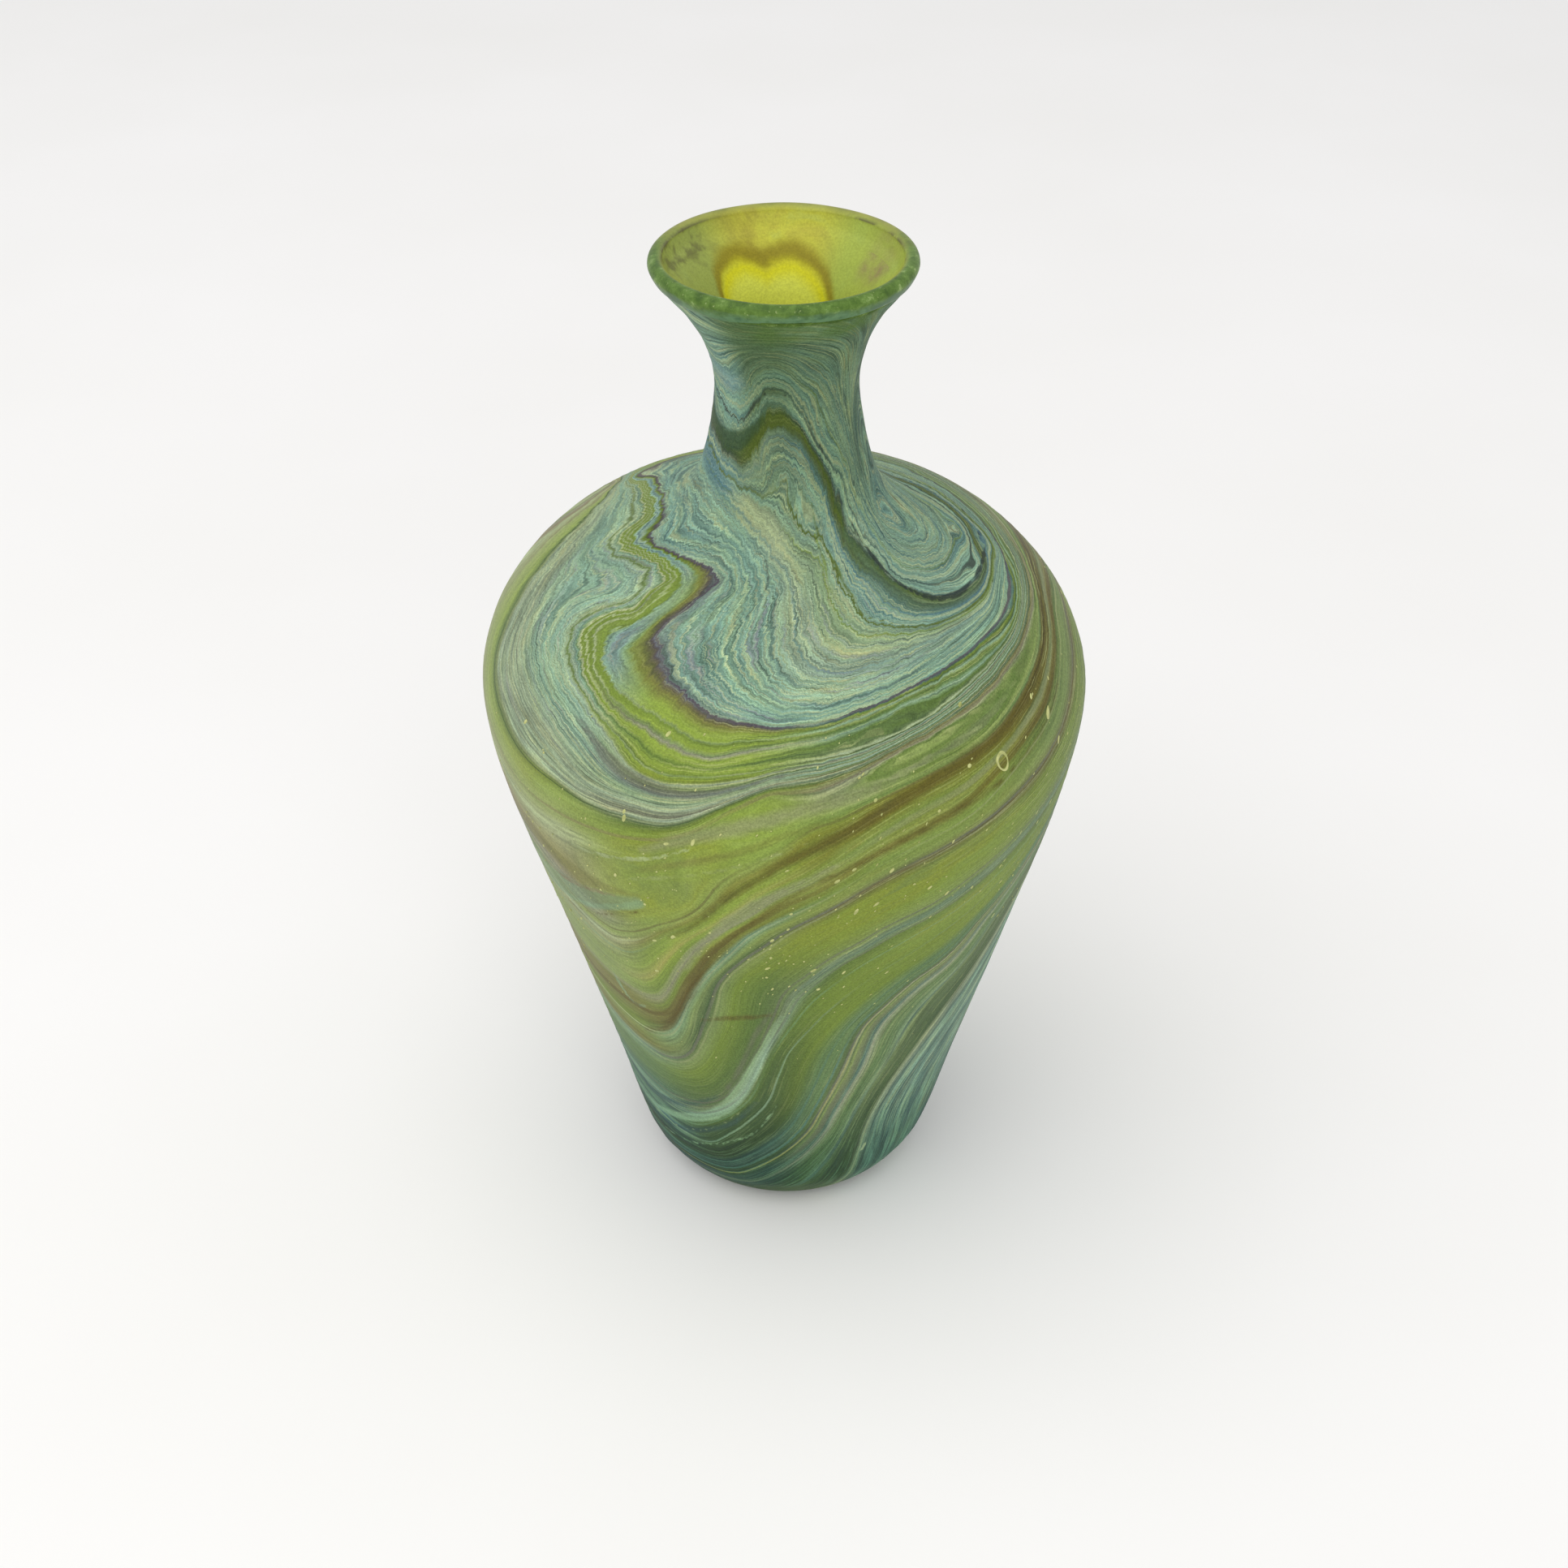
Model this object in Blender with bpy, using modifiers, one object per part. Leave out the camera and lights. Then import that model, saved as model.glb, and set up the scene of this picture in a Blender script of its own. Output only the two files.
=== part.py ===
"""Hand blown, marbled glass vase: a turned vessel made of fused layers of glass.

The vessel stands on Z = 0 with its axis on Z. From the inside out it is a bubble of
translucent green glass, a marbled overlay that covers the bubble from the heel to the lip,
a fire-polished bead that finishes the mouth, and the scar of the pontil iron under the base.
Glass pieces that are fused on the real vase are separate solids here, JOINT_GAP apart.
"""

import math

import bmesh
import bpy
import numpy as np

# Driving dimensions, in metres.
HEIGHT = 0.200
FOOT_RADIUS = 0.0245
HEEL_RADIUS = 0.0319
SHOULDER_RADIUS = 0.0570
SHOULDER_HEIGHT = 0.1155
NECK_RADIUS = 0.0128
NECK_HEIGHT = 0.176
MOUTH_RADIUS = 0.0231
OVERLAY_THICKNESS = 0.0010
BUBBLE_THICKNESS = 0.0021
LIP_OVERLAY_THICKNESS = 0.0006
LIP_BUBBLE_THICKNESS = 0.0010
JOINT_GAP = 0.0003

# The bead is a ring of round section on the end of the flared lip.
BEAD_SECTION_RADIUS = 0.0014
BEAD_HEIGHT = HEIGHT - BEAD_SECTION_RADIUS
BEAD_CENTRE_RADIUS = MOUTH_RADIUS - BEAD_SECTION_RADIUS
LIP_HEIGHT = BEAD_HEIGHT - BEAD_SECTION_RADIUS - JOINT_GAP
LIP_RADIUS = 0.0224

# The base: a flat standing ring round a shallow kick with the pontil scar in it.
FLOOR_THICKNESS = 0.0055
FLOOR_FILLET = 0.3
STANDING_RING_RADIUS = 0.0185
KICK_DEPTH = 0.0022
KICK_FLAT_RADIUS = 0.0095
OVERLAY_START_HEIGHT = 0.0012
SCAR_RADIUS = 0.0070
SCAR_THICKNESS = 0.0012

SEGMENTS = 40
BEAD_SECTION_SEGMENTS = 12
OUTLINE_STEPS = 2
FLOOR_FILLET_STEPS = 4
MERGE_DISTANCE = 0.00002

# Colours of the glass, as linear RGB.
GREEN_GLASS = (0.20, 0.27, 0.04)
MARBLED_GLASS = (0.19, 0.33, 0.22)
BEAD_GLASS = (0.08, 0.14, 0.03)
SCAR_GLASS = (0.14, 0.20, 0.05)


def outline_points():
    """(radius, height) of the vase's outside, from the foot up to the bead."""
    return [
        (FOOT_RADIUS, 0.0),
        (0.0269, 0.0024),
        (0.0294, 0.0060),
        (HEEL_RADIUS, 0.0120),
        (0.0374, 0.0340),
        (0.0458, 0.0660),
        (0.0537, 0.0960),
        (SHOULDER_RADIUS, SHOULDER_HEIGHT),
        (0.0546, 0.1272),
        (0.0489, 0.1362),
        (0.0411, 0.1432),
        (0.0320, 0.1478),
        (0.0233, 0.1512),
        (0.0177, 0.1560),
        (0.0146, 0.1640),
        (NECK_RADIUS, NECK_HEIGHT),
        (0.0142, 0.1840),
        (0.0173, 0.1903),
        (0.0205, 0.1945),
        (LIP_RADIUS, LIP_HEIGHT),
    ]


def smooth_outline(points, steps):
    """The points of a Catmull-Rom curve through `points`, with `steps` spans between two of them."""
    p = np.array([points[0], *points, points[-1]], float)
    p[0] = 2 * p[1] - p[2]
    p[-1] = 2 * p[-2] - p[-3]
    curve = []
    for before, start, end, after in zip(p, p[1:], p[2:], p[3:]):
        for t in np.arange(steps) / steps:
            curve.append(
                0.5
                * (
                    2 * start
                    + (end - before) * t
                    + (2 * before - 5 * start + 4 * end - after) * t**2
                    + (3 * start - before - 3 * end + after) * t**3
                )
            )
    curve.append(p[-2])
    return np.array(curve)


def thinned(outline, body_thickness, lip_thickness):
    """The thickness at each point of the outline: it thins from the neck's waist to the lip."""
    return np.interp(outline[:, 1], [NECK_HEIGHT, LIP_HEIGHT], [body_thickness, lip_thickness])


def inset(outline, distance):
    """The outline moved `distance` into the glass, along its own normals."""
    tangent = np.gradient(outline, axis=0)
    tangent /= np.linalg.norm(tangent, axis=1)[:, None]
    normal = np.stack([-tangent[:, 1], tangent[:, 0]], axis=1)
    return outline + normal * distance[:, None]


def cut_below(outline, height):
    """The part of a rising outline above `height`, starting with a point exactly on it."""
    radii, heights = outline[:, 0], outline[:, 1]
    start = np.array([[np.interp(height, heights, radii), height]])
    return np.vstack([start, outline[heights > height + MERGE_DISTANCE]])


def cut_above(outline, height):
    """The part of a rising outline below `height`, ending with a point exactly on it."""
    radii, heights = outline[:, 0], outline[:, 1]
    end = np.array([[np.interp(height, heights, radii), height]])
    return np.vstack([outline[heights < height - MERGE_DISTANCE], end])


def glass(name, colour, roughness):
    """A Principled glass-like material in one colour."""
    material = bpy.data.materials.new(name)
    material.use_nodes = True
    shader = material.node_tree.nodes["Principled BSDF"]
    shader.inputs["Base Color"].default_value = (*colour, 1.0)
    shader.inputs["Roughness"].default_value = roughness
    shader.inputs["Metallic"].default_value = 0.0
    shader.inputs["IOR"].default_value = 1.52
    material.diffuse_color = (*colour, 1.0)
    return material


def turned(name, profile, material, parent, collection, closed):
    """A solid of revolution about Z: `profile` runs down its outer side, top to bottom."""
    mesh = bpy.data.meshes.new(name)
    vertices = [(radius, 0.0, height) for radius, height in profile]
    edges = [(i, i + 1) for i in range(len(vertices) - 1)]
    if closed:
        edges.append((len(vertices) - 1, 0))
    mesh.from_pydata(vertices, edges, [])
    piece = bpy.data.objects.new(name, mesh)
    collection.objects.link(piece)
    piece.parent = parent
    screw = piece.modifiers.new("Turn", "SCREW")
    screw.axis = "Z"
    screw.steps = SEGMENTS
    screw.render_steps = SEGMENTS
    screw.use_smooth_shade = True
    screw.use_merge_vertices = True
    screw.merge_threshold = MERGE_DISTANCE
    screw.use_normal_calculate = closed
    piece.data.materials.append(material)
    return piece


def make_bubble(parent, collection):
    """The blown bubble: wall, thick floor, standing ring and kick, as one solid of glass."""
    outside = smooth_outline(outline_points(), OUTLINE_STEPS)
    overlay_and_gap = thinned(outside, OVERLAY_THICKNESS, LIP_OVERLAY_THICKNESS) + JOINT_GAP
    wall = thinned(outside, BUBBLE_THICKNESS, LIP_BUBBLE_THICKNESS)
    wall_outside = inset(outside, overlay_and_gap)
    wall_inside = inset(outside, overlay_and_gap + wall)
    wall_outside = cut_above(cut_below(wall_outside, OVERLAY_START_HEIGHT), LIP_HEIGHT)
    fillet_height = FLOOR_FILLET * FLOOR_THICKNESS
    wall_inside = cut_below(cut_above(wall_inside, LIP_HEIGHT), FLOOR_THICKNESS + fillet_height)
    floor_edge = wall_inside[0][0]
    fillet_width = FLOOR_FILLET * floor_edge
    profile = list(reversed(wall_outside.tolist()))
    profile += [
        (FOOT_RADIUS, 0.0),
        (STANDING_RING_RADIUS, 0.0),
        (KICK_FLAT_RADIUS, KICK_DEPTH),
        (0.0, KICK_DEPTH),
        (0.0, FLOOR_THICKNESS),
    ]
    for step in range(FLOOR_FILLET_STEPS):
        angle = 0.5 * math.pi * step / FLOOR_FILLET_STEPS
        radius = floor_edge - fillet_width * (1.0 - math.sin(angle))
        height = FLOOR_THICKNESS + fillet_height * (1.0 - math.cos(angle))
        profile.append((radius, height))
    profile += wall_inside.tolist()
    material = glass("green_glass", GREEN_GLASS, 0.35)
    return turned("inner_bubble", profile, material, parent, collection, closed=True)


def make_overlay(parent, collection):
    """The marbled glass gathered over the bubble, from the heel to just under the bead."""
    outside = smooth_outline(outline_points(), OUTLINE_STEPS)
    outer = cut_above(cut_below(outside, OVERLAY_START_HEIGHT), LIP_HEIGHT)
    inner = inset(outside, thinned(outside, OVERLAY_THICKNESS, LIP_OVERLAY_THICKNESS))
    inner = cut_above(cut_below(inner, OVERLAY_START_HEIGHT), LIP_HEIGHT)
    profile = list(reversed(outer.tolist())) + inner.tolist()
    material = glass("marbled_glass", MARBLED_GLASS, 0.6)
    return turned("marbled_overlay", profile, material, parent, collection, closed=True)


def make_bead(parent, collection):
    """The fire-polished bead round the mouth."""
    profile = []
    for step in range(BEAD_SECTION_SEGMENTS):
        angle = -2.0 * math.pi * step / BEAD_SECTION_SEGMENTS + 0.5 * math.pi
        radius = BEAD_CENTRE_RADIUS + BEAD_SECTION_RADIUS * math.cos(angle)
        height = BEAD_HEIGHT + BEAD_SECTION_RADIUS * math.sin(angle)
        profile.append((radius, height))
    material = glass("bead_glass", BEAD_GLASS, 0.3)
    return turned("rim_bead", profile, material, parent, collection, closed=True)


def make_pontil_scar(parent, collection):
    """The disc of glass that the pontil iron left in the kick, with its edge broken back."""
    top = KICK_DEPTH - JOINT_GAP
    bottom = top - SCAR_THICKNESS
    mesh = bpy.data.meshes.new("pontil_scar")
    shape = bmesh.new()
    bmesh.ops.create_cone(
        shape,
        cap_ends=True,
        segments=SEGMENTS // 2,
        radius1=0.8 * SCAR_RADIUS,
        radius2=SCAR_RADIUS,
        depth=top - bottom,
    )
    bmesh.ops.translate(shape, verts=shape.verts, vec=(0.0, 0.0, (top + bottom) / 2))
    shape.to_mesh(mesh)
    shape.free()
    scar = bpy.data.objects.new("pontil_scar", mesh)
    collection.objects.link(scar)
    scar.parent = parent
    scar.data.materials.append(glass("scar_glass", SCAR_GLASS, 0.5))
    return scar


def main():
    for existing in list(bpy.data.objects):
        bpy.data.objects.remove(existing)
    collection = bpy.data.collections.new("hand_blown_vase")
    bpy.context.scene.collection.children.link(collection)
    axis = bpy.data.objects.new("vase_axis", None)
    collection.objects.link(axis)
    make_bubble(axis, collection)
    make_overlay(axis, collection)
    make_bead(axis, collection)
    make_pontil_scar(axis, collection)


main()
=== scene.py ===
"""The looks of a hand-blown marbled glass vase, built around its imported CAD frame.

Places on the wall are given as (degrees round the vase, millimetres up the wall's outline), where 0
degrees faces the camera and positive degrees go to its right. Lengths in the scene are in metres.
"""

import math

import bmesh
import bpy
import numpy as np
from mathutils import Matrix, Quaternion, Vector


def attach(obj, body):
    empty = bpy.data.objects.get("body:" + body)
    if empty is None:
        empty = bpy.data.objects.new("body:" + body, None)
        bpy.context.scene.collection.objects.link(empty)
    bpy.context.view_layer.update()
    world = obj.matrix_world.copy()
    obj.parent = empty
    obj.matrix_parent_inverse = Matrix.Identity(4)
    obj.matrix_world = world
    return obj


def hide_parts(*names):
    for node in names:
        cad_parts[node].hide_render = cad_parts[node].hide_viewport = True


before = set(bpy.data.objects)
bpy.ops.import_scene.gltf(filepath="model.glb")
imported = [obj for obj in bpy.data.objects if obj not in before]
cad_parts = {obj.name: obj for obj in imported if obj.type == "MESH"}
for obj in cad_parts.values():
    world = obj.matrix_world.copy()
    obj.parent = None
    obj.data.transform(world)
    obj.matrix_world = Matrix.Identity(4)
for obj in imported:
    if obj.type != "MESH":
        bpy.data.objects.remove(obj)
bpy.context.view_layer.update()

MM = 0.001
SEED = 7

# The outer outline, as (radius, height), the same as the CAD model's.
OUTLINE = [
    (0.0245, 0.0), (0.0269, 0.0024), (0.0294, 0.0060), (0.0319, 0.0120), (0.0374, 0.0340),
    (0.0458, 0.0660), (0.0537, 0.0960), (0.0570, 0.1155), (0.0546, 0.1272), (0.0489, 0.1362),
    (0.0411, 0.1432), (0.0320, 0.1478), (0.0233, 0.1512), (0.0177, 0.1560), (0.0146, 0.1640),
    (0.0128, 0.1760), (0.0142, 0.1840), (0.0173, 0.1903), (0.0205, 0.1945), (0.0224, 0.1969),
]
# Thicknesses of the whole wall, of the wall at the lip and of the overlay on the wall.
WALL = 3.4 * MM
LIP_WALL = 1.9 * MM
OVERLAY = 1.0 * MM
# The wall thins over this many millimetres below the lip.
LIP_FADE = 12
# The rim's ring, the floor inside, the kicked-up foot and the scar under it.
BEAD_RADIUS = 0.0217
BEAD_HEIGHT = 0.1986
BEAD_SECTION = 0.0014
BEAD_INSET = 0.0001
FLOOR_TOP = 0.0055
STANDING_RADIUS = 0.0185
KICK_DEPTH = 0.0022
KICK_FLAT = 0.0095
BELLY_HEIGHT = 0.1155
SCAR_RADIUS = 0.0070
SCAR_TOP = 0.0019
# How far the form leans to the back and the front of its axis, and how long the wave is.
BACK_DRIFT = 0.0002
BACK_WAVE = 0.043

# The marbling's main streams: a band value, and the route of that band along the wall.
STREAMS = {
    195: [(62, 180), (66, 173), (74, 171), (82, 174), (86, 181)],
    190: [(-60, 215), (-30, 217), (0, 218), (30, 214), (45, 206), (54, 196), (58, 187), (58, 178), (60, 171),
        (66, 168.5), (74, 168), (84, 170), (95, 174), (105, 180), (110, 190)],
    182: [(-78, 206.5), (-60, 205.5), (-45, 205.3), (-34, 206), (-25, 209.3), (-14, 212.2), (-4, 212),
        (4, 210.4), (10, 208.5), (20, 206), (30, 201.5), (40, 196), (47, 190), (50, 184), (50, 178),
        (50, 172), (53, 168), (60, 165.3), (68, 164.3), (78, 165), (88, 167), (100, 171), (112, 178),
        (122, 190)],
    175: [(-78, 202.8), (-60, 200.8), (-47, 199.6), (-38, 199.6), (-30, 201.6), (-22, 204.3), (-14, 206.2),
        (-3, 206.3), (9, 202.2), (13, 200.7), (19, 197.5), (27, 194), (37, 190), (42, 186), (43.5, 181.5),
        (44.5, 177.5), (46, 173), (43.5, 169.2), (46, 166.5), (49, 165), (52, 162.8), (57, 162), (60, 160.8),
        (72, 160.7), (78, 161.2), (85, 162), (92, 163.5), (100, 166.5), (112, 172), (125, 181), (138, 195)],
    168: [(-78, 195.3), (-60, 194.2), (-50, 193.4), (-40, 193.3), (-33, 193.9), (-26, 196.2), (-20, 198.6),
        (-14, 200.2), (-5, 200.9), (5, 199.5), (13, 197), (21, 194), (26, 190.7), (30.5, 186.5), (32, 182),
        (35, 176.5), (38, 171), (41, 165.8), (46.5, 160.8), (53, 158.4), (60, 157.4), (70, 157.2), (80, 158),
        (90, 159.6), (102, 165), (115, 170), (130, 179), (150, 192)],
    162: [(-78, 193.5), (-60, 192.2), (-46, 190.9), (-35, 189.8), (-28, 189.9), (-22, 192), (-17, 195),
        (-12, 197.6), (-3, 197.3), (6, 195.5), (13, 193.5), (18.5, 190.5), (24, 187), (27.5, 183), (29, 177),
        (30, 171), (32, 164.6), (37, 160.2), (45, 157.7), (54, 156.6), (64, 156.3), (75, 156.9), (85, 160),
        (100, 163.5), (115, 168), (132, 176), (155, 187), (180, 197)],
    158: [(-78, 192), (-60, 190.8), (-46, 189.3), (-32, 188.3), (-20, 187.7), (-14, 188.3), (-9, 190.7),
        (-6, 192), (-1, 192.6), (4, 191), (10, 187), (15, 184), (20, 180.5), (24, 176), (23, 170.3),
        (25, 168), (24, 165.5), (26.5, 162), (30, 160.3), (35, 158.6), (41, 156.9), (50, 156), (63, 155.4),
        (75, 157), (90, 159.8), (110, 165), (130, 172), (150, 180), (170, 188)],
    144: [(-112, 172), (-100, 175), (-88, 175.5), (-77, 174.8), (-72, 172), (-63, 171.5), (-54, 172.3),
        (-43, 173), (-36, 173), (-30.5, 172), (-26, 171.2), (-27.5, 168.7), (-29, 165), (-31, 162),
        (-33, 160), (-32.5, 156.5), (-29, 153), (-26, 151), (-21.5, 148.8), (-18.5, 147), (-15, 145.6),
        (-9.7, 144.7), (0, 144), (10, 144.9), (20, 146.2), (30, 147.8), (42, 148.8), (50, 149.5),
        (60, 150.5), (70, 151.8), (80, 153.8), (90, 156.3), (105, 160), (120, 163), (135, 166), (150, 171),
        (165, 176), (180, 178), (195, 173), (208, 165), (220, 161), (234, 165)],
    139: [(-112, 168), (-98, 170.7), (-88, 171), (-83, 168), (-76, 166), (-70, 166.3), (-60, 168),
        (-52, 168.5), (-46.5, 167.2), (-46.5, 163.5), (-46.3, 160), (-50, 157.5), (-53, 154), (-53.5, 151),
        (-51, 148.6), (-46.5, 145.5), (-40.5, 142.6), (-36.5, 141), (-31.2, 139.4), (-27.5, 137.9),
        (-25, 136.6), (-19.8, 135.9), (-15, 136), (-9.5, 137), (0, 139), (10, 140.3), (20, 141.8),
        (30, 143.3), (40, 144.7), (50, 146), (60, 147.2), (70, 148.8), (80, 150.8), (90, 153.3), (105, 157),
        (120, 159.5), (135, 162), (150, 166), (165, 169), (180, 170), (195, 165), (208, 158), (220, 156),
        (234, 160)],
    136.5: [(-98, 167.5), (-88, 167.5), (-80, 164), (-72, 163.5), (-62, 165), (-55, 165), (-51, 163),
        (-51, 160), (-55, 156.5), (-58, 152.5), (-57, 148.5), (-54, 146), (-49.5, 143.4), (-45.5, 142),
        (-42, 140.6), (-36, 138), (-33, 136.8), (-30, 134.5), (-27, 133.1), (-21, 132.4), (-15, 133.5),
        (-8, 135), (0, 136.8), (10, 138), (20, 139.5), (30, 141), (45, 143.7), (60, 146), (75, 149),
        (90, 151.8)],
    132: [(-80, 156), (-74, 150), (-68, 143), (-60, 138.5), (-50, 135), (-42, 132), (-35, 129.5),
        (-28, 128.8), (-20, 129), (-12, 131.2), (0, 135.5), (15, 137.8), (30, 140.7), (45, 143.2)],
    129: [(-126, 158), (-112, 160), (-100, 159), (-90, 153.5), (-85, 149), (-81, 144), (-78, 139),
        (-75, 135), (-71, 131.5), (-66, 129.3), (-60, 127), (-53, 125.3), (-45, 124.7), (-36.5, 124),
        (-28.5, 124.5), (-21.5, 125.3), (-17, 127), (-11.5, 130), (-4, 133.5), (0, 134.4), (7.6, 135.5),
        (14.7, 137), (21.3, 138.5), (30, 140.2), (45, 142.5), (60, 145.6), (75, 148), (90, 150.8),
        (105, 154), (120, 155), (135, 156), (150, 158), (165, 160), (180, 160), (195, 156), (210, 150),
        (222, 150), (234, 158)],
    125: [(-110, 135), (-95, 128), (-80, 120), (-68, 115), (-60, 112.5), (-50, 112.5), (-40.5, 114),
        (-31, 115.5), (-24.5, 117.8), (-15.5, 123.3), (-6, 128), (0, 130), (10, 132), (20, 134.3),
        (30, 136.4), (45, 139.2), (60, 142.5), (75, 145.8), (90, 149), (105, 151), (120, 151), (150, 150),
        (180, 147), (210, 141), (235, 138)],
    121.3: [(-110, 118), (-95, 108), (-80, 99), (-70, 95), (-60, 93), (-50, 89), (-45, 87.6), (-40, 87),
        (-35, 89), (-30, 92.5), (-25, 97), (-20, 101), (-15, 106), (-10, 113), (-5, 117.4), (0, 121.3),
        (5, 125), (10, 126.8), (15, 129), (20, 130.4), (25, 131.5), (30, 132.4), (40, 133.7), (45, 134.8),
        (52.5, 137), (58, 138.5), (68, 141.5), (78, 145), (88, 147.6), (105, 148), (120, 146), (150, 140),
        (180, 132), (210, 126), (235, 122)],
    109: [(-110, 88), (-95, 80), (-80, 73), (-70, 69), (-60, 67), (-50, 66), (-40, 65.5), (-35, 66),
        (-30, 69), (-27, 73.5), (-23.5, 80), (-20, 86), (-15, 94), (-10, 100), (-5, 104.5), (0, 109),
        (5, 111.9), (10, 115.5), (15, 119.3), (20, 121.8), (25, 123.5), (30, 124.7), (35, 126), (40, 128),
        (50, 131), (60, 134), (72, 139), (85, 143), (105, 141), (120, 136), (150, 122), (180, 108),
        (210, 98), (235, 93)],
    105.5: [(-60, 61), (-50, 58.8), (-42, 58), (-36, 59), (-31, 62), (-27.5, 66.5), (-25.5, 71), (-23, 76),
        (-20, 81.3), (-14.5, 89.6), (-7, 100), (0, 105.6), (5, 109), (10, 112.5), (15, 116.3), (22, 119.5)],
    101.5: [(-100, 66), (-80, 59), (-60, 54), (-48, 51.5), (-40, 50.8), (-34, 51.5), (-28, 55), (-24, 60.5),
        (-21, 67.5), (-18, 75.5), (-15, 83.5), (-10, 91), (-5, 96.5), (0, 101.5), (7, 106.5), (15, 112),
        (22, 115.3), (30, 117.5), (38, 119.5), (45, 121.5), (60, 126), (75, 132.5), (90, 138), (110, 134),
        (150, 108), (180, 92), (210, 82), (240, 72)],
    81.5: [(-100, 48), (-80, 42), (-60, 37.5), (-47, 35.4), (-39, 34.8), (-30, 36), (-24, 38), (-18, 42),
        (-13.5, 48), (-10.5, 54), (-8, 60), (-5.5, 66), (-2.5, 74), (0, 81.5), (5, 87.5), (10, 92.5),
        (15, 95.5), (20, 98.6), (30, 101.5), (38, 104.5), (45, 107), (52, 109.5), (60, 112.5), (75, 120),
        (90, 127), (110, 118), (150, 84), (180, 70), (210, 62), (240, 53)],
    62: [(-100, 34), (-80, 29), (-60, 25), (-45, 22.8), (-37, 22.5), (-27.5, 23.5), (-17, 31), (-10, 38),
        (-5.3, 44.5), (-3, 52.5), (0, 62), (5, 70), (10, 77), (15, 82), (20, 86), (30, 91), (38, 94.3),
        (45, 97.5), (60, 105), (75, 112), (90, 118), (110, 100), (150, 60), (180, 50), (210, 44), (240, 37)],
    25: [(-100, 17), (-60, 13), (-30, 12), (-20, 13), (-14, 15.5), (-6, 20.5), (0, 25), (4.5, 29.5),
        (8, 34.5), (11, 42), (14.7, 52), (16.5, 60), (19, 68), (22.5, 72.5), (27, 77), (30, 79.3),
        (35.5, 81.5), (41, 85), (44.5, 88.5), (49, 91.5), (60, 98), (75, 106), (90, 108), (110, 80),
        (150, 38), (180, 30), (210, 26), (240, 20)],
    2: [(22, 6), (25, 12), (26, 19), (27, 29), (29, 37), (33, 46), (38, 53), (45, 62), (55, 73), (65, 84),
        (78, 94), (92, 92), (110, 62), (130, 36), (150, 18), (175, 10)],
}
# The field's points stand this many millimetres apart on a stream; it rounds streams off over that softness.
STREAM_STEP = 3.0
FIELD_SOFTNESS = 3.0
FIELD_LOOSENESS = 0.05
FIELD_CHUNK = 4000
# The bands are coloured in these ranges, which are finer where the bands are broad.
BAND_RANGES = [(-20, 35), (35, 77), (77, 118), (118, 134), (134, 147), (147, 198)]

# The colours of glass in the marbling, as sRGB.
GLASS = {
    "ink": "3f4a42", "harbour": "3a5458", "forest": "3d5333", "laurel": "49603f", "bottle": "46635b",
    "pine": "506b62", "plum": "4e4450", "peat": "4e4521", "soot": "2f3a37", "umber": "5c5128",
    "bronze": "66602f", "smoke": "6b6f63", "mauve": "8b8792", "dust": "8f917c", "khaki": "7b7a48",
    "straw": "a39f60", "moss": "5d7540", "olive": "74893e", "lime": "8a9f49", "meadow": "90a35a",
    "reed": "8a9b62", "sage": "7d9060", "thyme": "5f7350", "fern": "668157", "willow": "788d70",
    "pond": "587a6c", "lagoon": "4b7080", "slate": "5e8480", "jade": "7a9d80", "teal": "749a8e",
    "mist": "7b989c", "celadon": "86a387", "mint": "93b092", "cream": "a9b68c", "butter": "b4bb92",
    "hunter": "596a2e", "clay": "857a60", "lichen": "9aa27c", "earth": "66603f",
}

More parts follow.
